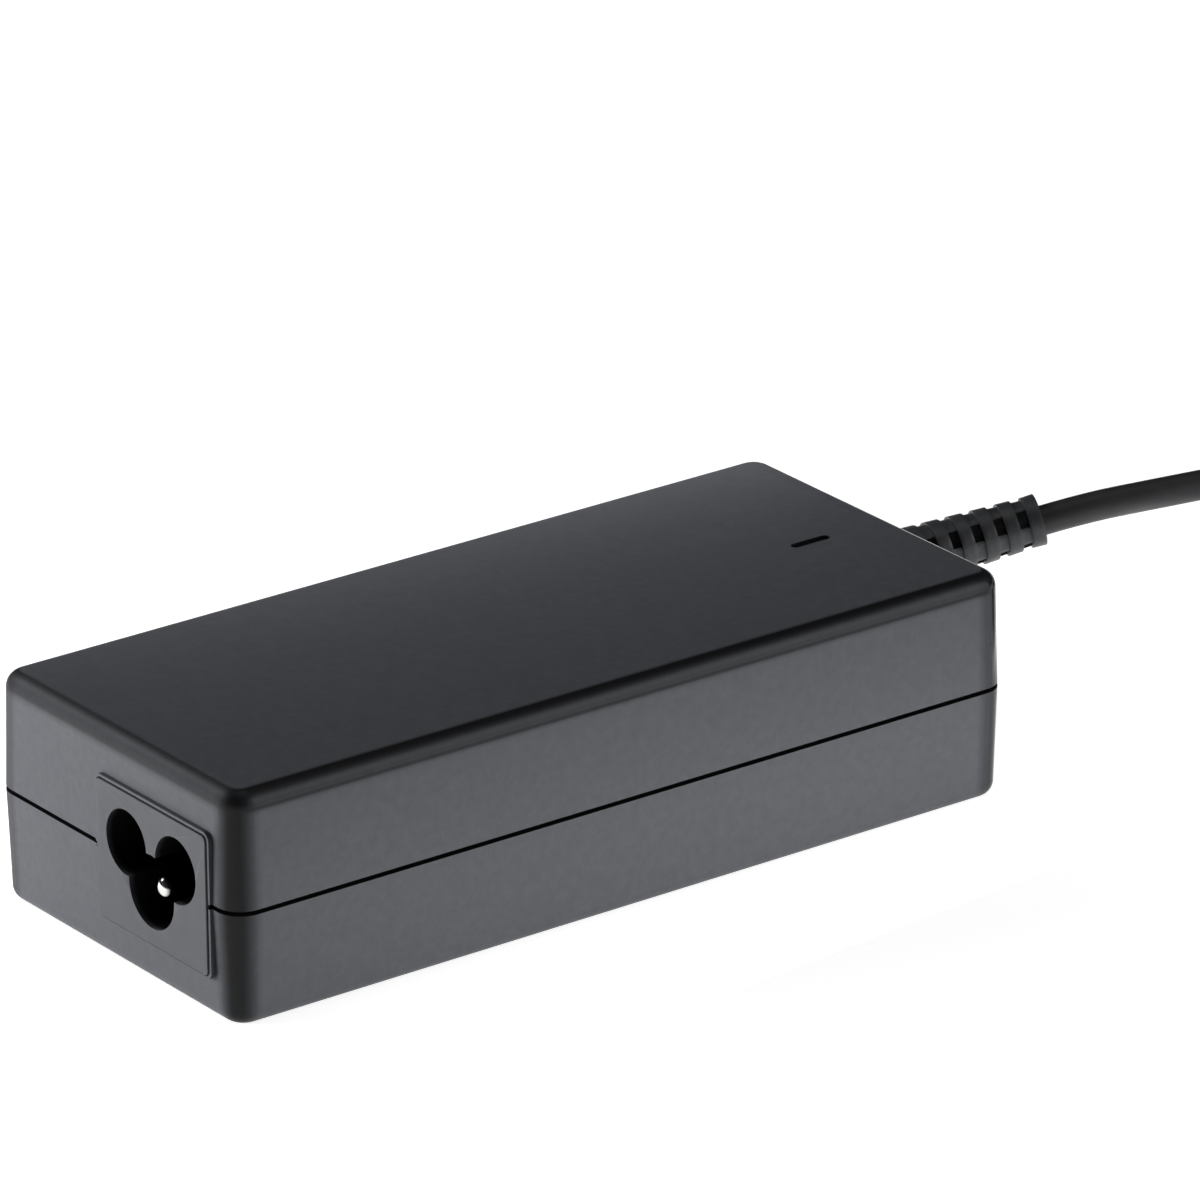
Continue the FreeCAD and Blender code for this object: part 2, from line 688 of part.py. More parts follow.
bottom_shell = shell("bottom_shell", lower_rim, lower_rim, S.bottom_draft, S.bottom_rounding, False)
tongue = sketch(bottom_shell, "tongue", "XY_Plane", lower_rim)
rounded_rectangle(
    tongue, 0, 0, S.case_width - 2 * tongue_inset, S.case_length - 2 * tongue_inset,
    S.cavity_corner + S.tongue_thick,
)
rounded_rectangle(tongue, 0, 0, inner_width, inner_length, S.cavity_corner)
grow(bottom_shell, tongue, "lip", S.seam_gap + S.tongue_height)
ledges = sketch(bottom_shell, "ledges", "XY_Plane", S.wall)
ledge_out = inner_width / 2 + S.wall / 4
for side in (-1, 1):
    inner, outer = side * (inner_width / 2 - S.ledge_width), side * ledge_out
    low_y, high_y = notch_y - S.wall, board_back - S.board_end_gap
    polygon(ledges, [(inner, low_y), (outer, low_y), (outer, high_y), (inner, high_y)])
grow(bottom_shell, ledges, "board_ledges", S.ledge_height)
openings(bottom_shell)

top_shell = shell("top_shell", upper_rim, S.case_height - upper_rim, S.top_draft, S.top_rounding, True)
rebate = sketch(top_shell, "rebate", "XY_Plane", upper_rim)
rebate_inset = tongue_inset - S.tongue_clearance
rounded_rectangle(
    rebate, 0, 0, S.case_width - 2 * rebate_inset, S.case_length - 2 * rebate_inset,
    S.cavity_corner + S.tongue_thick + S.tongue_clearance,
)
sink(top_shell, rebate, "tongue_rebate", S.tongue_height + S.tongue_clearance, reverse=True)
openings(top_shell)
slot = sketch(top_shell, "light_slot", "XY_Plane", (S.light_offset, light_y, S.case_height))
stadium(slot, S.slot_length, S.slot_width)
sink(top_shell, slot, "light_hole", S.wall * 2)

doc.recompute()


# The mains inlet

inlet_body = body("inlet_body", inlet_x, inlet_front, inlet_z)
plate = sketch(inlet_body, "plate", "XZ_Plane")
rounded_rectangle(plate, 0, 0, plate_width, plate_height, S.plate_corner)
grow(inlet_body, plate, "front_plate", FACE_PROUD, reverse=True)
block = sketch(inlet_body, "block", "XZ_Plane")
rounded_rectangle(block, 0, 0, block_width, block_height, S.plate_corner)
grow(inlet_body, block, "socket_block", S.block_depth, reverse=True)
collar_y = FACE_PROUD + S.wall + S.collar_gap
collar = sketch(inlet_body, "collar", "XZ_Plane", -collar_y)
collar_width = block_width + 2 * S.collar_border
collar_height = block_height + 2 * S.collar_border
rounded_rectangle(collar, 0, 0, collar_width, collar_height, S.plate_corner)
grow(inlet_body, collar, "inner_collar", S.collar_thick, reverse=True)
blend(
    inlet_body, "plate_edge", S.plate_proud * 0.6,
    lambda edge: level(edge, "Y", 0) and edge.BoundBox.ZLength < value(plate_height) + NEAR,
)
for pin, (pin_x, pin_z, pin_r, setback, lobe) in PINS.items():
    recess = sketch(inlet_body, pin + "_lobe", "XZ_Plane")
    circle(recess, pin_x, pin_z - (inlet_z - seam), lobe)
    sink(inlet_body, recess, pin + "_recess", S.recess_depth)
holes = sketch(inlet_body, "pin_holes", "XZ_Plane")
for pin_x, pin_z, pin_r, setback, lobe in PINS.values():
    circle(holes, pin_x, pin_z - (inlet_z - seam), pin_r + S.pin_shoulder)
sink(inlet_body, holes, "pin_openings", S.block_depth)

inlet_pins = []
inlet_wires = []
for pin, (pin_x, pin_z, pin_r, setback, lobe) in PINS.items():
    made = body("inlet_%s_pin" % pin, inlet_x + pin_x, inlet_front + setback, seam + pin_z)
    free, held = S.recess_depth - setback, S.block_depth - S.recess_depth
    stretches = (
        ("shank", 0, pin_r, free), ("root", free, pin_r + S.pin_shoulder, held),
        ("tail", free + held, S.pin_tail_radius, S.pin_tail),
    )
    for stretch, start, radius, length in stretches:
        section = sketch(made, stretch + "_section", "XZ_Plane", -start)
        circle(section, 0, 0, radius)
        grow(made, section, stretch, length, reverse=True)
    blend(made, "tip", pin_r * 0.85, lambda edge: level(edge, "Y", 0))
    inlet_pins.append(made)
    x, z = inlet_x + pin_x, seam + pin_z
    bend = pins_end + S.wire_reach
    route = [(x, pins_end, z), (x, bend, z), (x, bend, board_top)]
    inlet_wires.append(wire_run("inlet_%s_wire" % pin, route, S.lead_wire_radius))


# The light

light_bottom = board_top + S.led_height + S.led_radius + S.led_gap
led_light_pipe = body("led_light_pipe", S.light_offset, light_y, ceiling)
pipe_long, pipe_wide = S.slot_length - 2 * S.light_clearance, S.slot_width - 2 * S.light_clearance
window = sketch(led_light_pipe, "window", "XY_Plane")
stadium(window, pipe_long, pipe_wide)
grow(led_light_pipe, window, "top", S.wall - S.light_recess)
flange = sketch(led_light_pipe, "flange", "XY_Plane")
stadium(flange, pipe_long + 2 * S.light_flange, pipe_wide + 2 * S.light_flange)
grow(led_light_pipe, flange, "seat", S.light_flange_thick, reverse=True)
stem = sketch(led_light_pipe, "stem", "XY_Plane")
circle(stem, 0, 0, S.led_radius)
grow(led_light_pipe, stem, "column", ceiling - light_bottom, reverse=True)

led = rod("led_body", S.light_offset, light_y, board_top, S.led_radius, S.led_height)
dome = ball("led_dome", S.light_offset, light_y, board_top + S.led_height, S.led_radius)
led_rim = rod("led_rim", S.light_offset, light_y, board_top, S.led_radius * 1.15, S.led_radius * 0.5)
indicator_led = join("indicator_led", [led, dome, led_rim])


# The circuit board and what lies on it, from the inlet end

main_board = body("main_board", 0, 0, board_low)
board = sketch(main_board, "outline", "XY_Plane")
board_left = -board_width / 2
polygon(board, [
    (board_left, board_front), (notch_x, board_front), (notch_x, notch_y),
    (board_width / 2, notch_y), (board_width / 2, board_back), (board_left, board_back),
])
grow(main_board, board, "laminate", S.board_thick)

fuse_y = board_front + S.first_gap
fuse_x = left_edge + S.fuse_width / 2
fuse = brick("fuse", fuse_x, fuse_y, board_top, S.fuse_width, S.fuse_length, S.fuse_height)

varistor_y = fuse_y + S.fuse_length + S.part_gap
varistor_x = left_edge + S.varistor_radius
varistor_z = board_top + S.disc_stand + S.varistor_radius
varistor_mid = varistor_y + S.varistor_thick / 2
disc = rod("varistor_disc", varistor_x, varistor_y, varistor_z, S.varistor_radius, S.varistor_thick, "+Y")
spots = [(varistor_x + side * S.varistor_radius / 2, varistor_mid) for side in (-1, 1)]
varistor = join("varistor", [disc] + leads("varistor", spots, board_top, varistor_z))

filter_y = varistor_y + S.varistor_thick + S.part_gap
filter_x = left_edge + S.filter_cap_width / 2
filter_capacitor = brick(
    "filter_capacitor", filter_x, filter_y, board_top,
    S.filter_cap_width, S.filter_cap_length, S.filter_cap_height,
)

bridge_y = filter_y + S.filter_cap_length + S.part_gap
bridge_x = left_edge + S.bridge_width / 2
bridge_case = brick(
    "bridge_case", bridge_x, bridge_y, board_top + S.bridge_stand,
    S.bridge_width, S.bridge_length, S.bridge_height,
)
spots = [
    (bridge_x + (n - 1.5) * S.bridge_width / 4, bridge_y + S.bridge_length / 2)
    for n in range(4)
]
bridge_legs = leads("bridge", spots, board_top, board_top + S.bridge_stand + S.lead_radius)
bridge_rectifier = join("bridge_rectifier", [bridge_case] + bridge_legs)


def heat_sink(name, x, y, screw_z):
    """An upright plate across the board, with a hole for the screw."""
    made = body(name, x, y, board_top)
    face = sketch(made, "face", "XZ_Plane")
    rectangle(face, 0, S.sink_height / 2, S.sink_width, S.sink_height)
    circle(face, 0, screw_z - board_top, S.screw_radius + S.screw_clearance)
    grow(made, face, "sheet", S.sink_thick, reverse=True)
    return made


def power_device(name, x, y, screw_z):
    """A three-legged semiconductor whose tab lies on the heat sink in front of it, at y."""
    low = board_top + S.device_stand
    case = brick(name + "_case", x, y, low, S.device_width, S.device_thick, S.device_height)
    tab_tall = S.device_height + S.tab_height
    tab = brick(name + "_tab", x, y, low, S.device_width, S.tab_thick, tab_tall)
    spots = [(x + n * S.device_width / 4, y + S.device_thick / 2) for n in (-1, 0, 1)]
    legs = leads(name, spots, board_top, low + S.lead_radius)
    solid = join(name + "_solid", [case, tab] + legs)
    hole_r = S.screw_radius + S.screw_clearance
    hole = rod(name + "_hole", x, y - S.tab_thick, screw_z, hole_r, S.tab_thick * 3, "+Y")
    return carve(name, solid, hole)


def sink_screw(name, x, y, screw_z):
    """Its head on the tab, its shank through the tab and the plate in front."""
    reach = S.tab_thick + S.sink_thick
    shank = rod(name + "_shank", x, y - S.sink_thick, screw_z, S.screw_radius, reach, "+Y")
    head = rod(name + "_head", x, y + S.tab_thick, screw_z, S.screw_head_radius, S.screw_head_thick, "+Y")
    return join(name, [shank, head])


screw_z = board_top + S.device_stand + S.device_height + S.tab_height / 2
sink_y = bridge_y + S.bridge_length + S.part_gap
sink_x = left_edge + S.sink_width / 2
switch_heat_sink = heat_sink("switch_heat_sink", sink_x, sink_y, screw_z)
switch_y = sink_y + S.sink_thick
power_switch = power_device("power_switch", sink_x, switch_y, screw_z)
switch_screw = sink_screw("switch_screw", sink_x, switch_y, screw_z)

# the transformer: an E-shaped core in two halves round a former with its winding
core_x = left_edge + S.core_width / 2
former_y = switch_y + S.device_thick + S.part_gap
core_y = former_y + S.bobbin_overhang + S.core_depth / 2
core_low = board_top + S.core_stand
core_mid = core_low + S.core_height / 2
half_core = S.core_height / 2


def core_half(name, up):
    """One E with its back outward, its legs meeting the other half at mid height."""
    made = body(name, core_x, core_y, core_mid)
    face = sketch(made, "face", "XZ_Plane")
    outer, inner, leg = S.core_width / 2, S.core_width / 2 - S.core_leg, S.core_middle / 2
    top, low = up * half_core, up * (half_core - S.core_back)
    polygon(face, [
        (-outer, top), (-outer, 0), (-inner, 0), (-inner, low), (-leg, low), (-leg, 0),
        (leg, 0), (leg, low), (inner, low), (inner, 0), (outer, 0), (outer, top),
    ])
    grow(made, face, "ferrite", S.core_depth, middle=True)
    return made


transformer_core_lower = core_half("transformer_core_lower", -1)
transformer_core_upper = core_half("transformer_core_upper", 1)

window_tall = S.core_height - 2 * S.core_back
former_low = core_low + S.core_back + S.bobbin_gap
former_tall = window_tall - 2 * S.bobbin_gap
bore_x = S.core_middle + 2 * S.bobbin_gap
bore_y = S.core_depth + 2 * S.bobbin_gap
tube_x, tube_y = bore_x + 2 * S.bobbin_wall, bore_y + 2 * S.bobbin_wall
flange_x = S.core_width - 2 * S.core_leg - 2 * S.bobbin_gap
flange_y = S.core_depth + 2 * S.bobbin_overhang
winding_low = former_low + S.bobbin_wall + S.winding_gap
winding_tall = former_tall - 2 * S.bobbin_wall - 2 * S.winding_gap

transformer_former = body("transformer_former", core_x, core_y, former_low)
tube_face = sketch(transformer_former, "tube", "XY_Plane")
rectangle(tube_face, 0, 0, tube_x, tube_y)
grow(transformer_former, tube_face, "tube_wall", former_tall)
for place, level_z in (("lower", 0), ("upper", former_tall - S.bobbin_wall)):
    cheek = sketch(transformer_former, place + "_cheek", "XY_Plane", level_z)
    rectangle(cheek, 0, 0, flange_x, flange_y)
    grow(transformer_former, cheek, place + "_flange", S.bobbin_wall)
feet = sketch(transformer_former, "feet", "XY_Plane")
for side in (-1, 1):
    rectangle(feet, 0, side * (flange_y - S.rail_length) / 2, flange_x, S.rail_length)
grow(transformer_former, feet, "rails", former_low - board_top, reverse=True)
bore = sketch(transformer_former, "bore", "XY_Plane")
rectangle(bore, 0, 0, bore_x, bore_y)
sink(transformer_former, bore, "leg_hole", former_tall * 2, middle=True)


def sleeve(name, x, y, z, inner_x, inner_y, thick, tall):
    """A square-cornered ring of one wall thickness, by its opening."""
    made = body(name, x, y, z)
    section = sketch(made, "section", "XY_Plane")
    rectangle(section, 0, 0, inner_x + 2 * thick, inner_y + 2 * thick)
    rectangle(section, 0, 0, inner_x, inner_y)
    grow(made, section, "ring", tall)
    return made


coil_in_x, coil_in_y = tube_x + 2 * S.winding_gap, tube_y + 2 * S.winding_gap
transformer_winding = sleeve(
    "transformer_winding", core_x, core_y, winding_low,
    coil_in_x, coil_in_y, S.winding_thick, winding_tall,
)
tape_x = coil_in_x + 2 * S.winding_thick
tape_y = coil_in_y + 2 * S.winding_thick
transformer_tape = sleeve(
    "transformer_tape", core_x, core_y, winding_low, tape_x, tape_y, S.tape_thick, winding_tall,
)

# behind the transformer
small_y = core_y + flange_y / 2 + S.part_gap
cap_x = left_edge + S.bridge_cap_radius
cap_z = board_top + S.disc_stand + S.bridge_cap_radius
disc = rod("suppressor_disc", cap_x, small_y, cap_z, S.bridge_cap_radius, S.bridge_cap_thick, "+Y")
cap_mid = small_y + S.bridge_cap_thick / 2
spots = [(cap_x + side * S.bridge_cap_radius / 2, cap_mid) for side in (-1, 1)]
suppression_capacitor = join("suppression_capacitor", [disc] + leads("suppressor", spots, board_top, cap_z))

coupler_x = cap_x + S.bridge_cap_radius + S.part_gap + S.coupler_width / 2
optical_coupler = brick(
    "optical_coupler", coupler_x, small_y, board_top, S.coupler_width, S.coupler_length, S.coupler_height,
)


def can(name, x, y, radius, tall, groove=0.08):
    """An upright electrolytic capacitor with a rolled groove near its foot."""
    made = body(name, x, y, board_top)
    half = sketch(made, "profile", "XZ_Plane")
    depth, low = radius * groove, radius * 0.5
    polygon(half, [
        (0, 0), (radius, 0), (radius, low), (radius - depth, low + depth), (radius, low + 2 * depth),
        (radius, tall - depth), (radius - depth, tall), (0, tall),
    ])
    revolve(made, half, "can")
    return made


# the right-hand row, behind the inlet's wires
choke_x = right_edge - S.choke_width / 2
choke_y = pins_end + S.wire_reach + S.lead_wire_radius + S.part_gap + S.choke_winding
choke_leg_z = board_top + S.choke_base_thick + S.choke_leg
choke_window = S.choke_height - 2 * S.choke_leg
choke_base = brick(
    "choke_base", choke_x, choke_y - S.choke_winding, board_top,
    S.choke_width, S.choke_depth + 2 * S.choke_winding, S.choke_base_thick,
)
choke_core = body("choke_core", choke_x, choke_y, board_top + S.choke_base_thick)
ring = sketch(choke_core, "ring", "XZ_Plane")
rectangle(ring, 0, S.choke_height / 2, S.choke_width, S.choke_height)
rectangle(ring, 0, S.choke_height / 2, S.choke_width - 2 * S.choke_leg, choke_window)
grow(choke_core, ring, "ferrite", S.choke_depth, reverse=True)
choke_windings = []
for side, word in ((-1, "left"), (1, "right")):
    leg_x = choke_x + side * (S.choke_width - S.choke_leg) / 2
    around = 2 * S.winding_gap
    choke_windings.append(sleeve(
        "choke_winding_" + word, leg_x, choke_y + S.choke_depth / 2, choke_leg_z + S.winding_gap,
        S.choke_leg + around, S.choke_depth + around, S.choke_winding, choke_window - around,
    ))

bulk_x = right_edge - S.bulk_radius
bulk_y = choke_y + S.choke_depth + S.choke_winding + S.part_gap
bulk_z = board_top + S.lying_gap + S.bulk_radius
bulk_capacitor = body("bulk_capacitor", bulk_x, bulk_y, bulk_z)
bulk_half = sketch(bulk_capacitor, "profile", "XY_Plane")
bulk_groove = S.bulk_radius * 0.06
bulk_seat = S.bulk_radius * 0.35
polygon(bulk_half, [
    (0, 0), (S.bulk_radius, 0), (S.bulk_radius, bulk_seat),
    (S.bulk_radius - bulk_groove, bulk_seat + bulk_groove), (S.bulk_radius, bulk_seat + 2 * bulk_groove),
    (S.bulk_radius, S.bulk_length - bulk_groove), (S.bulk_radius - bulk_groove, S.bulk_length),
    (0, S.bulk_length),
])
revolve(bulk_capacitor, bulk_half, "can")

small_cap_x = coupler_x + S.coupler_width / 2 + S.part_gap + S.small_cap_radius
supply_capacitor = can(
    "supply_capacitor", small_cap_x, small_y + S.small_cap_radius, S.small_cap_radius, S.small_cap_height,
)
controller_chip = brick(
    "controller_chip", core_x, core_y, board_low - S.chip_height, S.chip_width, S.chip_length, S.chip_height,
)

# the output side, from the cord end
anchor_y = back - S.wall - S.boot_anchor_gap - S.boot_anchor_thick
wire_y = anchor_y - S.wire_reach
output_wires = []
for side, word in ((-1, "positive"), (1, "negative")):
    x = boot_x + side * (S.lead_wire_radius + S.winding_gap)
    route = [(x, anchor_y, seam), (x, wire_y, seam), (x, wire_y, board_top)]
    output_wires.append(wire_run("output_%s_wire" % word, route, S.lead_wire_radius))

output_cap_x = right_edge - S.output_cap_radius
first_cap_y = board_back - S.first_gap - S.output_cap_radius
second_cap_y = first_cap_y - 2 * S.output_cap_radius - S.part_gap / 2
output_capacitor_rear = can(
    "output_capacitor_rear", output_cap_x, first_cap_y, S.output_cap_radius, S.output_cap_height,
)
output_capacitor_front = can(
    "output_capacitor_front", output_cap_x, second_cap_y, S.output_cap_radius, S.output_cap_height,
)

inductor_x = left_edge + S.inductor_radius + S.part_gap
inductor_y = wire_y - S.lead_wire_radius - S.part_gap - S.inductor_radius
inductor_low = board_top + S.inductor_core_border
outer = rod("inductor_outer", inductor_x, inductor_y, board_top, S.inductor_radius, S.inductor_height)
eye = rod("inductor_eye", inductor_x, inductor_y, board_top, S.inductor_hole, S.inductor_height)
inductor_ring = carve("inductor_ring", outer, eye)
border = S.inductor_core_border
core_r, core_hole = S.inductor_radius - border, S.inductor_hole + border
core_tall = S.inductor_height - 2 * border
hollow_outer = rod("inductor_hollow", inductor_x, inductor_y, inductor_low, core_r, core_tall)
hollow_inner = rod("inductor_keep", inductor_x, inductor_y, inductor_low, core_hole, core_tall)
inductor_space = carve("inductor_space", hollow_outer, hollow_inner)
inductor_winding = carve("inductor_winding", inductor_ring, inductor_space)
gap = S.winding_gap
core_outer = rod(
    "inductor_core_outer", inductor_x, inductor_y, inductor_low + gap, core_r - gap, core_tall - 2 * gap,
)
core_eye = rod(
    "inductor_core_eye", inductor_x, inductor_y, inductor_low + gap, core_hole + gap, core_tall - 2 * gap,
)
inductor_core = carve("inductor_core", core_outer, core_eye)

rectifier_y = inductor_y - S.inductor_radius - S.part_gap - S.device_thick
output_sink_y = rectifier_y - S.sink_thick
output_heat_sink = heat_sink("output_heat_sink", sink_x, output_sink_y, screw_z)
output_rectifier = power_device("output_rectifier", sink_x, rectifier_y, screw_z)
rectifier_screw = sink_screw("rectifier_screw", sink_x, rectifier_y, screw_z)

# sheets under and over the circuit
sheet_width = inner_width - 2 * (S.ledge_width + S.sheet_gap)
sheet_front = board_front + S.board_end_gap
sheet_length = board_back - S.board_end_gap - sheet_front
insulating_sheet = brick(
    "insulating_sheet", 0, sheet_front, S.wall, sheet_width, sheet_length, S.sheet_thick,
)
lower_spreader = brick(
    "lower_heat_spreader", 0, sheet_front, S.wall + S.sheet_thick,
    sheet_width, sheet_length, S.spreader_thick,
)
upper_front = front + S.wall + S.spreader_front
upper_length = back - S.wall - S.spreader_back - upper_front
upper_low = ceiling - S.spreader_thick
upper_spreader = brick(
    "upper_heat_spreader", 0, upper_front, upper_low,
    inner_width - 2 * S.spreader_side_gap, upper_length, S.spreader_thick,
)
pad_low = core_low + S.core_height
thermal_pad = brick(
    "thermal_pad", core_x, core_y - S.core_depth / 2, pad_low,
    S.core_width, S.core_depth, upper_low - pad_low,
)


# The strain relief: square to the case, and bent from there to its tip as the cord draws it

boot_turn = S.boot_bend * (math.pi / 180)
boot_lean = math.radians(value(S.boot_lean))
boot_aside = Vector(math.cos(boot_lean), 0, math.sin(boot_lean))


def boot_radius(along):
    """Radius of the ribs at a distance from the case along the axis."""
    return S.boot_base_radius - (S.boot_base_radius - S.boot_tip_radius) * along / S.boot_length


def boot_turned(along):
    return value(boot_turn * along / S.boot_length)


def boot_ahead(along):
    """Direction of the bent axis."""
    turned = boot_turned(along)
    return Vector(0, 1, 0) * math.cos(turned) + boot_aside * math.sin(turned)


def boot_place(along):
    """Point of the bent axis, from its start at the case."""
    bend_radius = S.boot_length / boot_turn
    turned = boot_turned(along)
    aside = bend_radius * (1 - math.cos(turned))
    return aside * boot_aside.x, bend_radius * math.sin(turned), aside * boot_aside.z


def boot_part(name, start, end, first_radius, last_radius):
    """A short tapered length of the strain relief, square to the axis at its own middle."""
    middle, half = (start + end) / 2, (end - start) / 2
    turn = Rotation(Vector(0, 1, 0), boot_ahead(middle))
    profile = sketch(cable_boot, name, "XY_Plane", boot_place(middle), turn)
    polygon(profile, [(0, -half), (first_radius, -half), (last_radius, half), (0, half)])
    revolve(cable_boot, profile, name + "_round")


def boot_windows(name, start, end):
    """Four windows through a web, down to the core."""
    ahead = boot_ahead((start + end) / 2)
    level_side = ahead.cross(Vector(0, 0, 1))
    side = Rotation(ahead, -value(S.boot_window_rise)).multVec(level_side)
    turn = Rotation(side, ahead.cross(side), ahead, "ZXY")
    panes = sketch(cable_boot, name, "XY_Plane", boot_place(start), turn)
    depth = S.boot_base_radius - S.boot_core_radius
    out = S.boot_core_radius + depth / 2
    rectangle(panes, out, 0, depth, S.boot_window)
    rectangle(panes, -out, 0, depth, S.boot_window)
    rectangle(panes, 0, out, S.boot_window, depth)
    rectangle(panes, 0, -out, S.boot_window, depth)
    sink(cable_boot, panes, name + "_cut", end - start, reverse=True)


cable_boot = body("cable_boot", boot_x, back, seam)
boot_base = sketch(cable_boot, "base", "XY_Plane")
inside = -S.wall - S.boot_anchor_gap
polygon(boot_base, [
    (0, inside - S.boot_anchor_thick), (S.boot_anchor_radius, inside - S.boot_anchor_thick),
    (S.boot_anchor_radius, inside), (S.boot_neck_radius, inside),
    (S.boot_neck_radius, S.boot_clearance), (boot_radius(S.boot_clearance), S.boot_clearance),
    (boot_radius(S.boot_collar), S.boot_collar), (0, S.boot_collar),
])
revolve(cable_boot, boot_base, "collar")
slots = int(value(S.boot_slots))
for n in range(slots):
    gap = S.boot_collar + n * S.boot_pitch
    rib_start, rib_end = gap + S.boot_slot, gap + S.boot_pitch
    low, high = gap - S.boot_overlap, rib_start + S.boot_overlap
    boot_part("web_%d" % n, low, high, boot_radius(low) - S.boot_step, boot_radius(high) - S.boot_step)
    boot_windows("windows_%d" % n, gap, rib_start)
    if n < slots - 1:
        boot_part("rib_%d" % n, rib_start, rib_end, boot_radius(rib_start), boot_radius(rib_end))
boot_part("tip", rib_start, S.boot_length, boot_radius(rib_start), S.boot_tip_radius + S.boot_tip_flare)


# The cord: from the strain relief down to the surface, its coil, and on to the plug

thick = value(S.cord_diameter)
layer = value(S.coil_pitch)
layers = int(value(S.coil_layers))
turns_per_layer = value(S.coil_turns) / layers
half_spread = layer * turns_per_layer / 2
outer_turn = value(S.coil_radius) + half_spread
inner_turn = value(S.coil_radius) - half_spread
boot_tip = Vector(*(value(part) for part in boot_place(S.boot_length)))
exit_ahead = boot_ahead(S.boot_length)
exit_point = Vector(value(boot_x), value(back + MIDDLE_Y), value(seam - S.exit_drop)) + boot_tip
coil_low = value(S.tie_thick + 2 * S.tie_gap) + thick / 2
coil_high = coil_low + (layers - 1) * layer

# the cord's route: its first run goes on from the strain relief, and the points after it are across
# and along from its exit, and up
EXIT_GAP = 0.1
FIRST_RUN = 6.0
LEAD = [
    (5.6, 13.2, 19.9), (8.3, 22.2, 20.4), (9.3, 32.5, 19.7), (8.0, 43.5, 17.1), (5.0, 54.0, 12.6),
    (1.0, 64.0, 7.4), (-2.5, 74.0, 3.7),
]
COIL_START = (-4.7, 92.0)
LAST_RUN = 9.0
TAIL_SHIFT = (-1.2, -3.1, -4.3, -4.3)
TAIL_STEP = (9.0, 18.0, 26.5, 34.5, 42.0)
TAIL_HEIGHT = (12.2, 8.2)

coil_start = Vector(exit_point.x + COIL_START[0], exit_point.y + COIL_START[1], coil_low)
coil_centre = Vector(coil_start.x + outer_turn, coil_start.y + thick, 0)
lead_points = [exit_point + exit_ahead * reach for reach in (EXIT_GAP, FIRST_RUN)]
lead_points += [Vector(exit_point.x + x, exit_point.y + y, z) for x, y, z in LEAD]
lead_points += [coil_start - Vector(0, LAST_RUN, 0), coil_start]

grip_height = value(S.grip_radius)
coil_end = Vector(coil_centre.x + outer_turn, coil_centre.y - thick, coil_high)
tail_points = [
    coil_end,
    coil_end - Vector(0, TAIL_STEP[0], 0),
    Vector(coil_end.x + TAIL_SHIFT[0], coil_end.y - TAIL_STEP[1], TAIL_HEIGHT[0]),
    Vector(coil_end.x + TAIL_SHIFT[1], coil_end.y - TAIL_STEP[2], TAIL_HEIGHT[1]),
    Vector(coil_end.x + TAIL_SHIFT[2], coil_end.y - TAIL_STEP[3], grip_height),
    Vector(coil_end.x + TAIL_SHIFT[3], coil_end.y - TAIL_STEP[4], grip_height),
]


def coil_place(turned):
    """Point of the coil's centre line, and its direction, after an angle turned from its start."""
    whole = 2 * math.pi * turns_per_layer
    nearest = max(1, min(layers - 1, round(turned / whole)))
    reversal = nearest * whole
    inward = int(turned // whole) % 2 == 0
    within = (turned % whole) / whole
    share = 1 - within if inward else within
    radius = inner_turn + layer * turns_per_layer * share
    slope = -layer / (2 * math.pi) if inward else layer / (2 * math.pi)
    if abs(turned - reversal) < 1e-9 or turned >= whole * layers:
        slope = 0.0
    climbed = min(1.0, max(0.0, (turned - reversal) / math.pi + 0.5))
    height = coil_low + layer * (nearest - 1 + climbed ** 2 * (3 - 2 * climbed))
    rise = layer * 6 * climbed * (1 - climbed) / math.pi
    place = coil_centre + Vector(-radius * math.cos(turned), radius * math.sin(turned), height)
    across = -slope * math.cos(turned) + radius * math.sin(turned)
    along = slope * math.sin(turned) + radius * math.cos(turned)
    return place, Vector(across, along, rise).normalize()


def arc_from(start, ahead, end):
    """An arc that leaves its start along a direction, or a straight run."""
    chord = end - start
    lean = ahead.getAngle(chord)
    if lean < 1e-6:
        return Part.LineSegment(start, end).toShape()
    side = (ahead - chord * (ahead.dot(chord) / chord.dot(chord))).normalize()
    sagitta = chord.Length / 2 * math.tan(lean / 2)
    return Part.Arc(start, (start + end) / 2 + side * sagitta, end).toShape()


def biarc(start, ahead, end, onward):
    """Two tangent arcs between two points with given directions."""
    gap = end - start
    both = ahead + onward
    a = 2 * (1 - ahead.dot(onward))
    b = gap.dot(both)
    c = gap.dot(gap)
    reach = (math.sqrt(b * b + a * c) - b) / a if a > 1e-9 else c / (2 * b)
    meet = (start + ahead * reach + end - onward * reach) / 2
    first = arc_from(start, ahead, meet)
    second = arc_from(end, -onward, meet)
    return [first, second]


def coil_path():
    """One straight diameter, the turns as biarcs of a quarter turn, and one straight diameter."""
    quarters = int(round(value(S.coil_turns) * 4))
    stops = [coil_place(math.pi / 2 * n) for n in range(quarters + 1)]
    first, last = stops[0][0], stops[-1][0]
    stops[0] = (first, Vector(0, 1, 0))
    stops[-1] = (last, Vector(0, 1 if quarters % 4 == 0 else -1, 0))
    edges = [Part.LineSegment(coil_start, first).toShape()]
    for (start, ahead), (end, onward) in zip(stops, stops[1:]):
        edges += biarc(start, ahead, end, onward)
    edges.append(Part.LineSegment(last, last + stops[-1][1] * thick).toShape())
    return Part.Wire(edges)


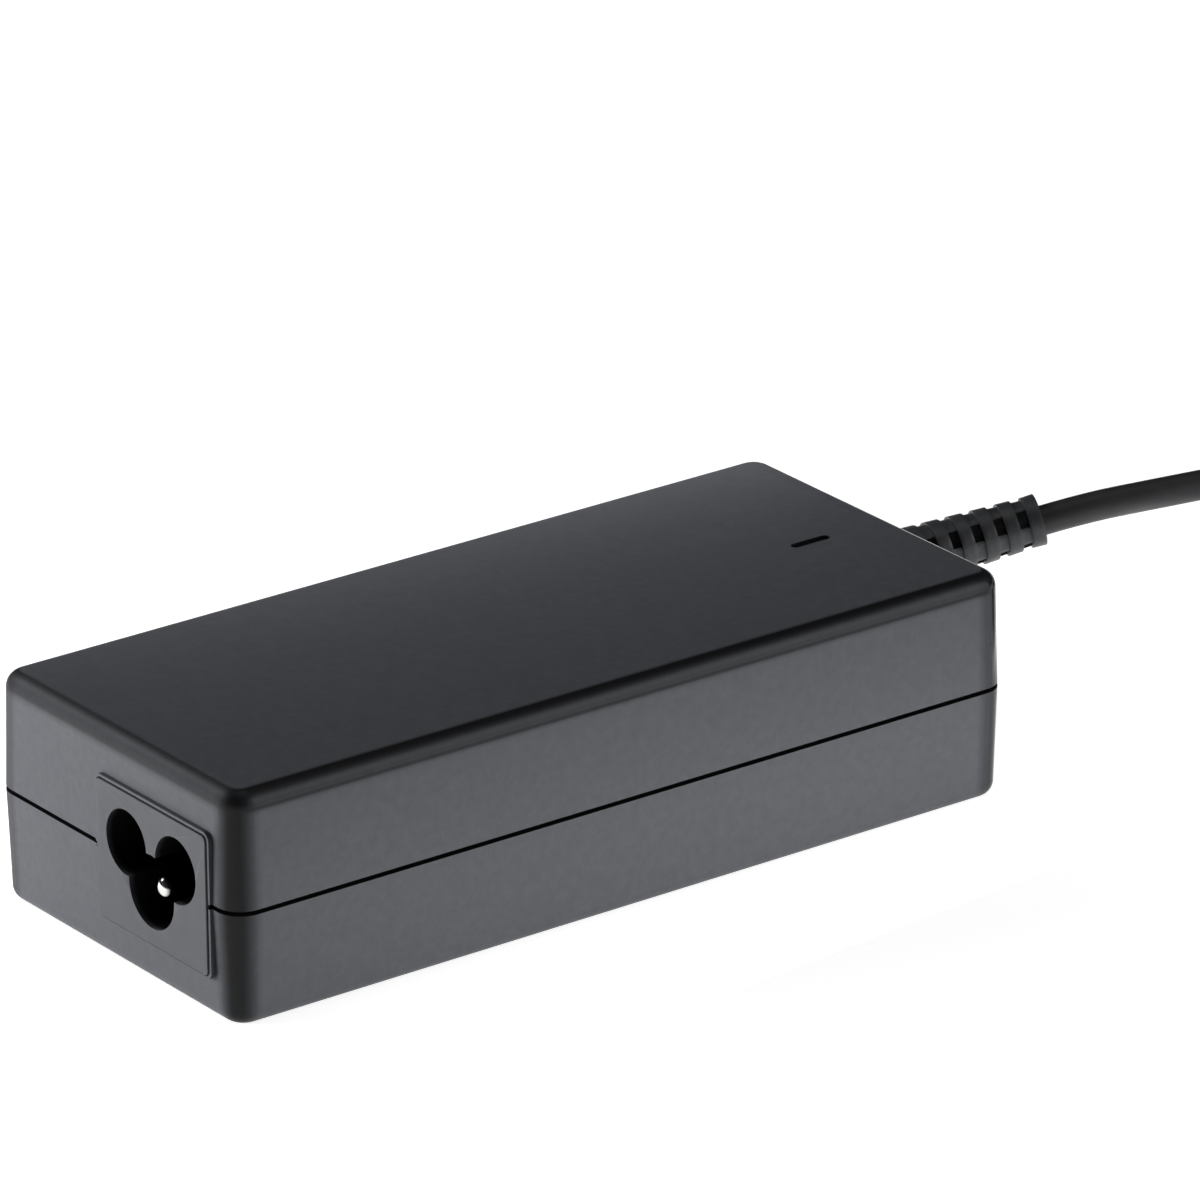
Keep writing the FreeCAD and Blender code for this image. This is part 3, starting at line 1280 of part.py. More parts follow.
def least_gap(path, diameter):
    """Least clear space between a coiled tube and itself, measured on points."""
    dots = path.discretize(Number=1500)
    step = path.Length / (len(dots) - 1)
    apart = int(3 * inner_turn / step)
    best = min(
        (dots[a] - dots[b]).Length
        for a in range(len(dots)) for b in range(a + apart, len(dots))
        if abs(dots[a].x - dots[b].x) < 3 * diameter and abs(dots[a].y - dots[b].y) < 3 * diameter
    )
    return best - diameter


def report_tube(name, path, shape, radii):
    expected = math.pi * thick ** 2 / 4 * path.Length
    print("%s: length %.1f mm, volume %.4f of section x length" % (name, path.Length, shape.Volume / expected))
    if radii:
        print("  bend radii", [round(radius, 1) for radius in radii])


lead_path, lead_radii = tube_path(lead_points)
dc_cord_lead = free_piece("dc_cord_lead", swept(lead_path, thick / 2))
report_tube("lead", lead_path, dc_cord_lead.Shape, lead_radii)
tail_path, tail_radii = tube_path(tail_points)
dc_cord_tail = free_piece("dc_cord_tail", swept(tail_path, thick / 2))
report_tube("tail", tail_path, dc_cord_tail.Shape, tail_radii)
turns_path = coil_path()
dc_cord_coil = free_piece("dc_cord_coil", swept(turns_path, thick / 2))
report_tube("coil", turns_path, dc_cord_coil.Shape, [])
print("  least gap of the coil to itself %.2f mm" % least_gap(turns_path, thick))
print("cord length %.0f mm" % (lead_path.Length + turns_path.Length + tail_path.Length))

# the strap that holds the coil, round all its turns on the side away from the case
chord_sag = inner_turn - thick / 2 - math.sqrt((inner_turn - thick / 2) ** 2 - value(S.tie_width) ** 2 / 4)
clear = value(S.tie_gap)
strap_near = coil_centre.y + inner_turn - thick / 2 - chord_sag - clear
strap_far = coil_centre.y + outer_turn + thick / 2 + clear
strap_low = value(S.tie_thick + S.tie_gap)
strap_high = coil_high + thick / 2 + clear
wide, thin = value(S.tie_width), value(S.tie_thick)


def strap_block(grow_by, length):
    low = Vector(coil_centre.x - length / 2, strap_near - grow_by, strap_low - grow_by)
    block = Part.makeBox(
        length, strap_far - strap_near + 2 * grow_by, strap_high - strap_low + 2 * grow_by, low,
    )
    lengthwise = [edge for edge in block.Edges if runs(edge, "x")]
    return block.makeFillet(thin * 0.6 + grow_by, lengthwise)


strap = strap_block(thin, wide).cut(strap_block(0, wide * 2))
end_low = Vector(coil_centre.x - wide / 2 + thin, strap_near + thin, strap_high + thin)
strap_end = Part.makeBox(wide - 2 * thin, (strap_far - strap_near) * 0.6, thin * 0.7, end_low)
cord_tie = free_piece("cord_tie", strap.fuse(strap_end).removeSplitter())


# The angled plug, lying on the surface with its barrel across

plug_x = tail_points[-1].x
plug_y = tail_points[-1].y - value(S.stem_length)
PLUG = (plug_x, plug_y - value(MIDDLE_Y), S.grip_radius)

plug_grip = body("plug_grip", *PLUG)
grip_profile = sketch(plug_grip, "profile", "XY_Plane")
grip_back = S.stem_offset
grip_front = S.stem_offset - S.grip_length
neck_end = grip_front - S.neck_length
collar_end = neck_end - S.collar_length
line = grip_back - S.cap_line
polygon(grip_profile, [
    (grip_back, 0), (grip_back, S.grip_radius), (line + S.cap_line_depth, S.grip_radius),
    (line, S.grip_radius - S.cap_line_depth), (line - S.cap_line_depth, S.grip_radius),
    (grip_front, S.grip_radius), (grip_front, S.neck_radius),
    (neck_end, S.neck_radius), (neck_end, S.collar_radius), (collar_end, S.collar_radius), (collar_end, 0),
])
revolve(plug_grip, grip_profile, "grip", axis="H_Axis")
blend(plug_grip, "closed_end", S.grip_rounding, lambda edge: level(edge, "X", grip_back))
stem_profile = sketch(plug_grip, "stem", "XY_Plane")


def stem_radius(along):
    return S.stem_radius - (S.stem_radius - S.stem_tip_radius) * along / S.stem_length


stem_spine = [(0, 0), (S.stem_radius, 0)]
for n in range(int(value(S.stem_slots))):
    start = S.stem_start + n * S.stem_pitch
    end = start + S.stem_slot
    stem_spine += [
        (stem_radius(start), start), (stem_radius(start) - S.stem_step, start),
        (stem_radius(end) - S.stem_step, end), (stem_radius(end), end),
    ]
stem_spine += [(S.stem_tip_radius, S.stem_length), (0, S.stem_length)]
polygon(stem_profile, stem_spine)
revolve(plug_grip, stem_profile, "ribbed_stem")
lean = math.radians(value(S.gusset_lean))
gusset_start = (-S.gusset_length * math.sin(lean), S.gusset_end - S.gusset_length * math.cos(lean), 0)
gusset_turn = Rotation(Vector(0, 0, 1), -value(S.gusset_lean))
gusset_profile = sketch(plug_grip, "gusset", "XY_Plane", gusset_start, gusset_turn)
polygon(gusset_profile, [
    (0, 0), (S.gusset_radius, 0), (S.gusset_radius, S.gusset_length), (0, S.gusset_length),
])
revolve(plug_grip, gusset_profile, "swell")

barrel_tip = collar_end - S.barrel_length
ring_start = barrel_tip + S.tip_ring
sleeve_inner = S.barrel_radius - S.barrel_wall
contact_outer = S.bore_radius + S.contact_wall
plug_sleeve = body("plug_sleeve", *PLUG)
sleeve_profile = sketch(plug_sleeve, "profile", "XY_Plane")
polygon(sleeve_profile, [
    (collar_end, sleeve_inner), (collar_end, S.barrel_radius),
    (ring_start, S.barrel_radius), (ring_start, sleeve_inner),
])
revolve(plug_sleeve, sleeve_profile, "tube", axis="H_Axis")
slit = sketch(plug_sleeve, "slit", "XY_Plane")
slit_length = S.barrel_length - S.tip_ring
rectangle(slit, ring_start + slit_length / 2, 0, slit_length, S.barrel_slit)
sink(plug_sleeve, slit, "lengthwise_slit", S.barrel_radius * 2, reverse=True)
lock = sketch(plug_sleeve, "lock", "XZ_Plane")
rectangle(lock, ring_start + S.lock_window_start + S.lock_window / 2, 0, S.lock_window, S.lock_window)
sink(plug_sleeve, lock, "lock_opening", S.barrel_radius * 2)

plug_insulator = body("plug_insulator", *PLUG)
insulator_profile = sketch(plug_insulator, "profile", "XY_Plane")
ring_bore = S.bore_radius + S.winding_gap
tube_outer = sleeve_inner - S.winding_gap
contact_gap = contact_outer + S.winding_gap / 2
polygon(insulator_profile, [
    (barrel_tip, ring_bore), (barrel_tip, S.barrel_radius), (ring_start, S.barrel_radius),
    (ring_start, tube_outer), (collar_end, tube_outer), (collar_end, contact_gap),
    (ring_start, contact_gap), (ring_start, ring_bore),
])
revolve(plug_insulator, insulator_profile, "ring", axis="H_Axis")

plug_contact = body("plug_contact", *PLUG)
contact_profile = sketch(plug_contact, "profile", "XY_Plane")
polygon(contact_profile, [
    (collar_end, S.bore_radius), (collar_end, contact_outer),
    (ring_start, contact_outer), (ring_start, S.bore_radius),
])
revolve(plug_contact, contact_profile, "tube", axis="H_Axis")


# Checks, and the files

NODES = [
    bottom_shell, top_shell, led_light_pipe, indicator_led, inlet_body, *inlet_pins, *inlet_wires,
    main_board, fuse, varistor, filter_capacitor, bridge_rectifier, choke_base, choke_core,
    *choke_windings, bulk_capacitor, switch_heat_sink, power_switch, switch_screw,
    transformer_core_lower, transformer_core_upper, transformer_former, transformer_winding,
    transformer_tape, suppression_capacitor, optical_coupler, supply_capacitor, controller_chip,
    output_heat_sink, output_rectifier, rectifier_screw, inductor_core, inductor_winding,
    output_capacitor_rear, output_capacitor_front, *output_wires, insulating_sheet, lower_spreader,
    upper_spreader, thermal_pad, cable_boot, dc_cord_lead, dc_cord_coil, dc_cord_tail, cord_tie,
    plug_grip, plug_sleeve, plug_insulator, plug_contact,
]

doc.recompute()
for thing in doc.Objects:
    if "Invalid" in thing.State or "Error" in thing.State:
        raise RuntimeError("%s failed: %s" % (thing.Name, thing.State))
for node in NODES:
    shape = node.Shape
    if shape.isNull() or not shape.isValid() or len(shape.Solids) != 1:
        raise RuntimeError("%s has no single valid solid" % node.Label)
for node in NODES:
    node.Shape.exportStep("parts/%s.step" % node.Label)
print("%d nodes written" % len(NODES))
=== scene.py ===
import json
import math

import bpy
from mathutils import Matrix, Vector


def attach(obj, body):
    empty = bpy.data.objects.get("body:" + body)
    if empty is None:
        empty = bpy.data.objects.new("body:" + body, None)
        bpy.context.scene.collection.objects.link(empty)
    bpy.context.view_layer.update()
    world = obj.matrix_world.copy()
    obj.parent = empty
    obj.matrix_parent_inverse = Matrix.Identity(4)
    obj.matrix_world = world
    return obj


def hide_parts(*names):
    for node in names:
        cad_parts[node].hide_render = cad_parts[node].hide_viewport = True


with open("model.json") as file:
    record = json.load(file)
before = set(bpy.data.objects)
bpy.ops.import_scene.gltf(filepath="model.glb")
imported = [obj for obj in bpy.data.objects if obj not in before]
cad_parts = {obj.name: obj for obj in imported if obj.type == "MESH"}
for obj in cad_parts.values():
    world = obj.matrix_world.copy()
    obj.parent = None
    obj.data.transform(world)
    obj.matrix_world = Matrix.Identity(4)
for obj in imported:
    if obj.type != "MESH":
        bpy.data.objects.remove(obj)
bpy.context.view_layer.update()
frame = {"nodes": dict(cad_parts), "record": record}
nodes = frame["nodes"]
scene = bpy.context.scene
MM = 0.001


# Camera: the photograph's viewing angle and distance

YAW = math.radians(54.1)
PITCH = math.radians(23.04)
ROLL = math.radians(-0.63)
DISTANCE = 1155.94 * MM
TARGET = Vector((0, 0.275, 15.41)) * MM
LENS = 292.17
SENSOR = 36
NEAREST_SEEN = 0.01
FARTHEST_SEEN = 50
# how far the middle of the picture lies beside and above the target
LOOK_RIGHT = math.radians(0.544)
LOOK_UP = math.radians(0.737)


def make_camera():
    data = bpy.data.cameras.new("camera")
    data.lens = LENS
    data.sensor_width = SENSOR
    data.clip_start = NEAREST_SEEN
    data.clip_end = FARTHEST_SEEN
    camera = bpy.data.objects.new("camera", data)
    scene.collection.objects.link(camera)
    level = math.cos(PITCH)
    away = Vector((math.sin(YAW) * level, -math.cos(YAW) * level, math.sin(PITCH)))
    turn = Matrix.Rotation(YAW, 4, "Z") @ Matrix.Rotation(math.pi / 2 - PITCH, 4, "X")
    turn = turn @ Matrix.Rotation(ROLL, 4, "Z")
    turn = turn @ Matrix.Rotation(-LOOK_RIGHT, 4, "Y") @ Matrix.Rotation(LOOK_UP, 4, "X")
    camera.matrix_world = Matrix.Translation(TARGET + away * DISTANCE) @ turn
    scene.camera = camera


make_camera()


# The cord: one spline from the strain relief through the coil to the plug. Its sizes are in millimetres,
# and its whole length is in metres

CORD_DIAMETER = 3.8
# the strain relief's axis: from the case it bends aside and up to its tip, where the cord comes out
BOOT_FOOT = Vector((-14.4, 56.775, 14.4))
BOOT_LENGTH = 32.0
BOOT_BEND = math.radians(28.5)
BOOT_LEAN = math.radians(28.0)
EXIT_DROP = 0.28
# from the exit: where the spline starts, and how far it runs straight on
EXIT_GAP = 0.1
EXIT_RUN = 6.0
# the way down to the surface: across and along from the exit, and height
LEAD = [
    (5.6, 13.2, 19.9), (8.3, 22.2, 20.4), (9.3, 32.5, 19.7), (8.0, 43.5, 17.1), (5.0, 54.0, 12.6),
    (1.0, 64.0, 7.4), (-2.5, 74.0, 3.7),
]
# the coil's start, across and along from the exit, and the straight run before it
COIL_START = (-4.7, 92.0)
RUN_IN = 9.0
COIL_RADIUS = 19.6
COIL_LAYERS = 4
TURNS_PER_LAYER = 2.125
COIL_PITCH = 4.3
COIL_LOW = 2.94
# the straight run after the coil, and the way to the plug: across and back from the coil's end, and height
RUN_OUT = 9.0
TAIL = [(-1.2, 18.0, 12.2), (-3.1, 26.5, 8.2), (-4.3, 34.5, 5.65), (-4.3, 42.0, 5.65)]
POINTS_PER_TURN = 24
SPLINE_ORDER = 3
STEPS_PER_POINT = 5
STEPS_ROUND = 8

boot_ahead = Vector((0, 1, 0))
boot_aside = Vector((math.cos(BOOT_LEAN), 0, math.sin(BOOT_LEAN)))
bend_radius = BOOT_LENGTH / BOOT_BEND
boot_tip = (boot_ahead * math.sin(BOOT_BEND) + boot_aside * (1 - math.cos(BOOT_BEND))) * bend_radius
exit_ahead = boot_ahead * math.cos(BOOT_BEND) + boot_aside * math.sin(BOOT_BEND)
EXIT = BOOT_FOOT + boot_tip - Vector((0, 0, EXIT_DROP))
inner_turn = COIL_RADIUS - COIL_PITCH * TURNS_PER_LAYER / 2
outer_turn = COIL_RADIUS + COIL_PITCH * TURNS_PER_LAYER / 2
coil_high = COIL_LOW + COIL_PITCH * (COIL_LAYERS - 1)
coil_start = Vector((EXIT.x + COIL_START[0], EXIT.y + COIL_START[1], COIL_LOW))
coil_centre = Vector((coil_start.x + outer_turn, coil_start.y + CORD_DIAMETER, 0))
coil_end = Vector((coil_centre.x + outer_turn, coil_centre.y - CORD_DIAMETER, coil_high))
# a spline of this order runs inside its points on a circle, by this share of the radius
SPLINE_INSET = (6 + 2 * math.cos(2 * math.pi / POINTS_PER_TURN)) / 8


def coil_point(turned):
    """Point of the coil after an angle turned from its start: inwards on one layer, outwards on the next.

    Half a turn takes the cord up to the next layer, and that climb starts and ends level.
    """
    whole = 2 * math.pi * TURNS_PER_LAYER
    nearest = max(1, min(COIL_LAYERS - 1, round(turned / whole)))
    inward = int(turned // whole) % 2 == 0
    within = (turned % whole) / whole
    share = 1 - within if inward else within
    radius = (inner_turn + COIL_PITCH * TURNS_PER_LAYER * share) / SPLINE_INSET
    climbed = min(1.0, max(0.0, (turned - nearest * whole) / math.pi + 0.5))
    height = COIL_LOW + COIL_PITCH * (nearest - 1 + climbed ** 2 * (3 - 2 * climbed))
    return coil_centre + Vector((-radius * math.cos(turned), radius * math.sin(turned), height))


def cord_points():
    points = [EXIT + exit_ahead * reach for reach in (EXIT_GAP, EXIT_RUN)]
    points += [Vector((EXIT.x + across, EXIT.y + along, up)) for across, along, up in LEAD]
    points += [coil_start - Vector((0, RUN_IN, 0)), coil_start]
    steps = round(COIL_LAYERS * TURNS_PER_LAYER * POINTS_PER_TURN)
    points += [coil_point(2 * math.pi * (step + 0.5) / POINTS_PER_TURN) for step in range(steps)]
    points += [coil_end, coil_end - Vector((0, RUN_OUT, 0))]
    points += [Vector((coil_end.x + across, coil_end.y - back, up)) for across, back, up in TAIL]
    return points


def make_cord():
    data = bpy.data.curves.new("dc_cord", "CURVE")
    data.dimensions = "3D"
    # the points' own radius gives the thickness
    data.bevel_depth = 1
    data.bevel_resolution = STEPS_ROUND
    data.resolution_u = STEPS_PER_POINT
    data.use_fill_caps = True
    points = cord_points()
    spline = data.splines.new("NURBS")
    spline.points.add(len(points) - 1)
    for place, point in zip(spline.points, points):
        place.co = (*(point * MM), 1)
        place.radius = CORD_DIAMETER / 2 * MM
    spline.order_u = SPLINE_ORDER
    spline.use_endpoint_u = True
    cord = bpy.data.objects.new("dc_cord", data)
    scene.collection.objects.link(cord)
    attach(cord, "root")
    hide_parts("dc_cord_lead", "dc_cord_coil", "dc_cord_tail")
    return cord


cord = make_cord()


# Materials: each is made from textures in the piece's own coordinates

# the range that a noise texture mostly stays in
NOISE_LOW = 0.3
NOISE_HIGH = 0.7
# how far a wave texture of scale 1 turns over one metre, in radians
WAVE_TURN = 20
LEAST_ROUGHNESS = 0.02
# the sockets of a mix node for each kind of value: the first, the second and the result
MIX_SOCKETS = {"FLOAT": (2, 3, 0), "RGBA": (6, 7, 2)}


def grey(value):
    return (value, value, value, 1)


def fill_sockets(tree, node, sockets):
    """Sets each socket to its value, or links it where the value is the output of another node."""
    for socket, value in sockets.items():
        if isinstance(value, bpy.types.NodeSocket):
            tree.links.new(value, node.inputs[socket])
        else:
            node.inputs[socket].default_value = value


def add_node(tree, kind, sockets, **settings):
    node = tree.nodes.new(kind)
    for setting, value in settings.items():
        setattr(node, setting, value)
    fill_sockets(tree, node, sockets)
    return node


class Finish:
    """A material whose colour, roughness and relief come from textures. Sizes are in millimetres."""

    def __init__(self, name, colour, roughness, **sockets):
        self.name = name
        self.colour = colour
        self.roughness = roughness
        self.material = bpy.data.materials.new(name)
        self.material.use_nodes = True
        self.tree = self.material.node_tree
        self.shader = self.tree.nodes["Principled BSDF"]
        self.current = {"Base Color": (*colour, 1), "Roughness": roughness}
        fill_sockets(self.tree, self.shader, self.current)
        for socket, value in sockets.items():
            title = socket.replace("_", " ").title().replace("Ior", "IOR")
            self.shader.inputs[title].default_value = value
        coordinates = self.node("ShaderNodeTexCoord", {}).outputs
        self.place = coordinates["Object"]
        self.facing = coordinates["Normal"]

    def node(self, kind, sockets, **settings):
        return add_node(self.tree, kind, sockets, **settings)

    def drive(self, socket, output):
        """Links an output to the shader, and keeps it for the next step to build on."""
        self.current[socket] = output
        fill_sockets(self.tree, self.shader, {socket: output})

    def stretched(self, x=1, y=1, z=1):
        """The piece's coordinates, stretched along some axes."""
        return self.node("ShaderNodeMapping", {"Vector": self.place, "Scale": (x, y, z)}).outputs["Vector"]

    def noise(self, size, detail=2.0, coarse=0.5, place=None):
        scale = 1 / (size * MM)
        sockets = {"Vector": place or self.place, "Scale": scale, "Detail": detail, "Roughness": coarse}
        return self.node("ShaderNodeTexNoise", sockets).outputs["Fac"]

    def cells(self, size, feature="SMOOTH_F1"):
        sockets = {"Vector": self.place, "Scale": 1 / (size * MM)}
        return self.node("ShaderNodeTexVoronoi", sockets, feature=feature).outputs["Distance"]

    def wave(self, size, direction, distortion=0.0):
        scale = 2 * math.pi / (WAVE_TURN * size * MM)
        sockets = {"Vector": self.place, "Scale": scale, "Distortion": distortion}
        return self.node("ShaderNodeTexWave", sockets, bands_direction=direction).outputs["Fac"]

    def maths(self, operation, *values):
        return self.node("ShaderNodeMath", dict(enumerate(values)), operation=operation).outputs[0]

    def vector(self, operation, *values):
        return self.node("ShaderNodeVectorMath", dict(enumerate(values)), operation=operation).outputs[0]

    def parts(self, source):
        """The three parts of a vector, by the names X, Y and Z."""
        return self.node("ShaderNodeSeparateXYZ", {0: source}).outputs

    def spread(self, source, low, high, start=NOISE_LOW, stop=NOISE_HIGH):
        """Goes from low to high while the source goes from start to stop."""
        sockets = {"Value": source, "From Min": start, "From Max": stop, "To Min": low, "To Max": high}
        return self.node("ShaderNodeMapRange", sockets).outputs["Result"]

    def between(self, source, start, stop):
        """Goes from nothing to one while the source goes between two places in millimetres."""
        return self.spread(source, 0, 1, start * MM, stop * MM)

    def behind(self, axis, start, stop):
        """Goes from nothing to one between two places along an axis."""
        return self.between(self.parts(self.place)[axis], start, stop)

    def away_from(self, axis, place, near, far):
        """Goes from nothing to one between two distances from a place along an axis."""
        reach = self.maths("SUBTRACT", self.parts(self.place)[axis], place * MM)
        return self.between(self.maths("ABSOLUTE", reach), near, far)

    def profile(self, source, steps):
        """Follows the source through steps: pairs of a place in millimetres and a value."""
        low, high = steps[0][0], steps[-1][0]
        ramp = self.node("ShaderNodeValToRGB", {"Fac": self.between(source, low, high)})
        elements = ramp.color_ramp.elements
        elements.remove(elements[1])
        elements[0].color = grey(steps[0][1])
        for place, value in steps[1:]:
            elements.new((place - low) / (high - low)).color = grey(value)
        return ramp.outputs["Color"]

    def mix(self, kind, share, first, second, blend="MIX"):
        """Goes from the first to the second while the share goes from nothing to one."""
        low, high, result = MIX_SOCKETS[kind]
        sockets = {0: share, low: first, high: second}
        return self.node("ShaderNodeMix", sockets, data_type=kind, blend_type=blend).outputs[result]

    def tint(self, source, other, start=NOISE_LOW, stop=NOISE_HIGH):
        """The colour goes to another one where the source is high."""
        share = self.spread(source, 0, 1, start, stop)
        self.drive("Base Color", self.mix("RGBA", share, self.current["Base Color"], (*other, 1)))

    def shade(self, source, low, high, start=NOISE_LOW, stop=NOISE_HIGH):
        """The colour is made darker and lighter with the source."""
        factor = self.spread(source, low, high, start, stop)
        self.drive("Base Color", self.mix("RGBA", 1, self.current["Base Color"], factor, "MULTIPLY"))

    def mottle(self, source, amount):
        """The colour gets lighter where the source is high, by a share of itself."""
        self.tint(source, tuple(min(1, part * (1 + amount)) for part in self.colour))

    def sheen(self, source, amount):
        """The roughness goes up and down with the source."""
        low = max(LEAST_ROUGHNESS, self.roughness - amount)
        high = min(1, self.roughness + amount)
        self.drive("Roughness", self.spread(source, low, high))

    def smoother(self, mask, roughness):
        """Another roughness where the mask is nothing."""
        self.drive("Roughness", self.mix("FLOAT", mask, roughness, self.current["Roughness"]))

    def relief(self, source, depth, mask=None):
        """The surface rises by a depth where the source is high, and where the mask lets it."""
        sockets = {"Height": source, "Distance": depth * MM}
        if mask:
            sockets["Strength"] = mask
        if "Normal" in self.current:
            sockets["Normal"] = self.current["Normal"]
        self.drive("Normal", self.node("ShaderNodeBump", sockets).outputs["Normal"])


CASE_WIDTH = 49.3
CASE_LENGTH = 113.0
PARTING_LINE = 14.4
# inwards from the outside: where the flat faces' finish fades in beside the upright corners, whose darker
# colour is painted shade
CORNER_PAINTED_SHADE_FADE = (1.9, 4.4)
# how level the surface is where the top face's finish fades in, above the painted shade round its edges
TOP_FADE = (0.97, 0.998)
# height above the underside, and how much of the flat faces' colour is there: less is painted shade on the
# radii round the top, with painted dark lines and lighter bands that stand in for reflections
SIDE_EDGE_PAINTED_SHADE = (
    (25.5, 1.0), (26.3, 0.95), (26.65, 0.68), (26.88, 0.18), (27.08, 0.1), (27.32, 0.34), (28.3, 0.32),
    (28.8, 0.0),
)
END_EDGE_PAINTED_SHADE = (
    (26.2, 1.0), (26.8, 0.7), (27.05, 0.4), (27.25, 0.23), (27.45, 0.2), (27.7, 0.27), (28.1, 0.38),
    (28.45, 0.42), (28.75, 0.33), (28.95, 0.24),
)
# up and down from the parting line: where the painted shade in the groove ends
GROOVE_PAINTED_SHADE_FADE = (0.28, 0.31)
# along the case: where the glossy radii of the cord end begin
CORD_END_FADE = (55.0, 53.5)
INLET_FRONT = -57.05
# along the case: where the painted shade in the inlet's recess begins, and where the painted shade on its
# pins begins
RECESS_PAINTED_SHADE_FADE = (-56.6, -55.9)
PIN_PAINTED_SHADE_FADE = (INLET_FRONT + 1.6, INLET_FRONT + 2.0)


def facing_ends(finish):
    """One where a wall or edge faces along the case, and nothing where it faces to a side."""
    level = finish.vector("MULTIPLY", finish.facing, (1, 1, 0))
    return finish.parts(finish.vector("ABSOLUTE", finish.vector("NORMALIZE", level)))["Y"]


def flatness_and_painted_shade(finish):
    """One on the flat faces, and less or nothing on the upright corners and round the top face, where the
    colour gets painted shade and the surface is smoother.
    """
    outwards = finish.parts(finish.vector("ABSOLUTE", finish.place))
    from_side = finish.maths("SUBTRACT", CASE_WIDTH / 2 * MM, outwards["X"])
    from_end = finish.maths("SUBTRACT", CASE_LENGTH / 2 * MM, outwards["Y"])
    # the darker colour on the upright corners is painted shade
    corners = finish.between(finish.maths("MAXIMUM", from_side, from_end), *CORNER_PAINTED_SHADE_FADE)
    height = finish.parts(finish.place)["Z"]
    # the darker colour along the top edges is painted shade, with dark lines and lighter bands as painted
    # reflections
    side_edge_painted_shade = finish.profile(height, SIDE_EDGE_PAINTED_SHADE)
    end_edge_painted_shade = finish.profile(height, END_EDGE_PAINTED_SHADE)
    edges = finish.mix("FLOAT", facing_ends(finish), side_edge_painted_shade, end_edge_painted_shade)
    walls = finish.maths("MULTIPLY", corners, edges)
    level = finish.parts(finish.vector("ABSOLUTE", finish.facing))["Z"]
    return finish.maths("MAXIMUM", walls, finish.spread(level, 0, 1, *TOP_FADE))


def case_plastic():
    """Fine texture on the flat faces, which ends at the radii: those are smoother, and their colour is
    painted darker as shade.

    The radii at the cord end are the glossiest. Painted dark lines and lighter bands along the top edges
    stand in for reflections, and the groove at the parting line gets painted shade.
    """
    finish = Finish("case_plastic", (0.006, 0.0063, 0.0070), roughness=0.48, specular_ior_level=0.19)
    flat = flatness_and_painted_shade(finish)
    # painted shade: the radii and top edges take the darker colour, with painted reflections along the top
    # edges
    finish.tint(flat, (0.072, 0.075, 0.083), start=0, stop=1)
    finish.shade(finish.noise(size=1.3, detail=4, coarse=0.6), low=0.92, high=1.08)
    # painted shade in the groove at the parting line
    groove = finish.away_from("Z", PARTING_LINE, *GROOVE_PAINTED_SHADE_FADE)
    finish.shade(groove, low=0.08, high=1.0, start=0, stop=1)
    finish.sheen(finish.noise(size=14, detail=4), amount=0.025)
    finish.smoother(finish.maths("MAXIMUM", flat, facing_ends(finish)), roughness=0.34)
    finish.smoother(finish.maths("MAXIMUM", flat, finish.behind("Y", *CORD_END_FADE)), roughness=0.08)
    finish.relief(finish.cells(size=0.55), depth=0.009, mask=flat)
    finish.relief(finish.noise(size=0.32, detail=3, coarse=0.65), depth=0.010, mask=flat)
    return finish


def inlet_plastic():
    """Satin on the plate, and painted shade on the recess behind it."""
    finish = Finish("inlet_plastic", (0.058, 0.060, 0.066), roughness=0.44, specular_ior_level=0.3)
    # painted shade in the recess behind the plate
    finish.tint(finish.behind("Y", *RECESS_PAINTED_SHADE_FADE), (0.003, 0.003, 0.003), start=0, stop=1)
    finish.shade(finish.noise(size=2.2, detail=4), low=0.94, high=1.06)
    finish.sheen(finish.noise(size=6, detail=4), amount=0.03)
    finish.relief(finish.noise(size=0.3, detail=3, coarse=0.6), depth=0.008)
    return finish


def light_window():
    finish = Finish("light_window", (0.003, 0.003, 0.003), roughness=0.35, specular_ior_level=0.15)
    finish.mottle(finish.noise(size=1.5, detail=3), amount=0.3)
    finish.sheen(finish.noise(size=2.5, detail=3), amount=0.04)
    finish.relief(finish.noise(size=0.9), depth=0.004)
    return finish


def light_lens():
    finish = Finish("light_lens", (0.42, 0.72, 0.42), roughness=0.12, transmission_weight=0.35)
    finish.mottle(finish.noise(size=0.8), amount=0.1)
    finish.sheen(finish.noise(size=1.2, detail=3), amount=0.04)
    finish.relief(finish.noise(size=1.0), depth=0.004)
    return finish


def nickel(name, painted_shade_behind=None):
    """Bright plating with faint spots. It can be painted dark behind a place along the case, as painted
    shade deep in a recess.
    """
    finish = Finish(name, (0.76, 0.75, 0.73), roughness=0.16, metallic=1.0)
    finish.tint(finish.noise(size=1.1, detail=4, coarse=0.6), (0.62, 0.60, 0.57), start=0.5, stop=0.8)
    if painted_shade_behind:
        # painted shade: the pins go dark behind the place, where they lie deep in the recess
        finish.tint(finish.behind("Y", *painted_shade_behind), (0.04, 0.04, 0.04), start=0, stop=1)
    finish.sheen(finish.noise(size=0.5, detail=4, coarse=0.65), amount=0.07)
    finish.relief(finish.noise(size=0.25, detail=3, coarse=0.6), depth=0.0012)
    return finish


def soft_black():
    finish = Finish("soft_black", (0.026, 0.027, 0.029), roughness=0.42, specular_ior_level=0.4)
    finish.mottle(finish.noise(size=1.8, detail=4), amount=0.25)
    finish.sheen(finish.noise(size=2.6, detail=4), amount=0.07)
    finish.relief(finish.noise(size=0.22, detail=3, coarse=0.6), depth=0.006)
    finish.relief(finish.noise(size=3.5), depth=0.02)
    return finish


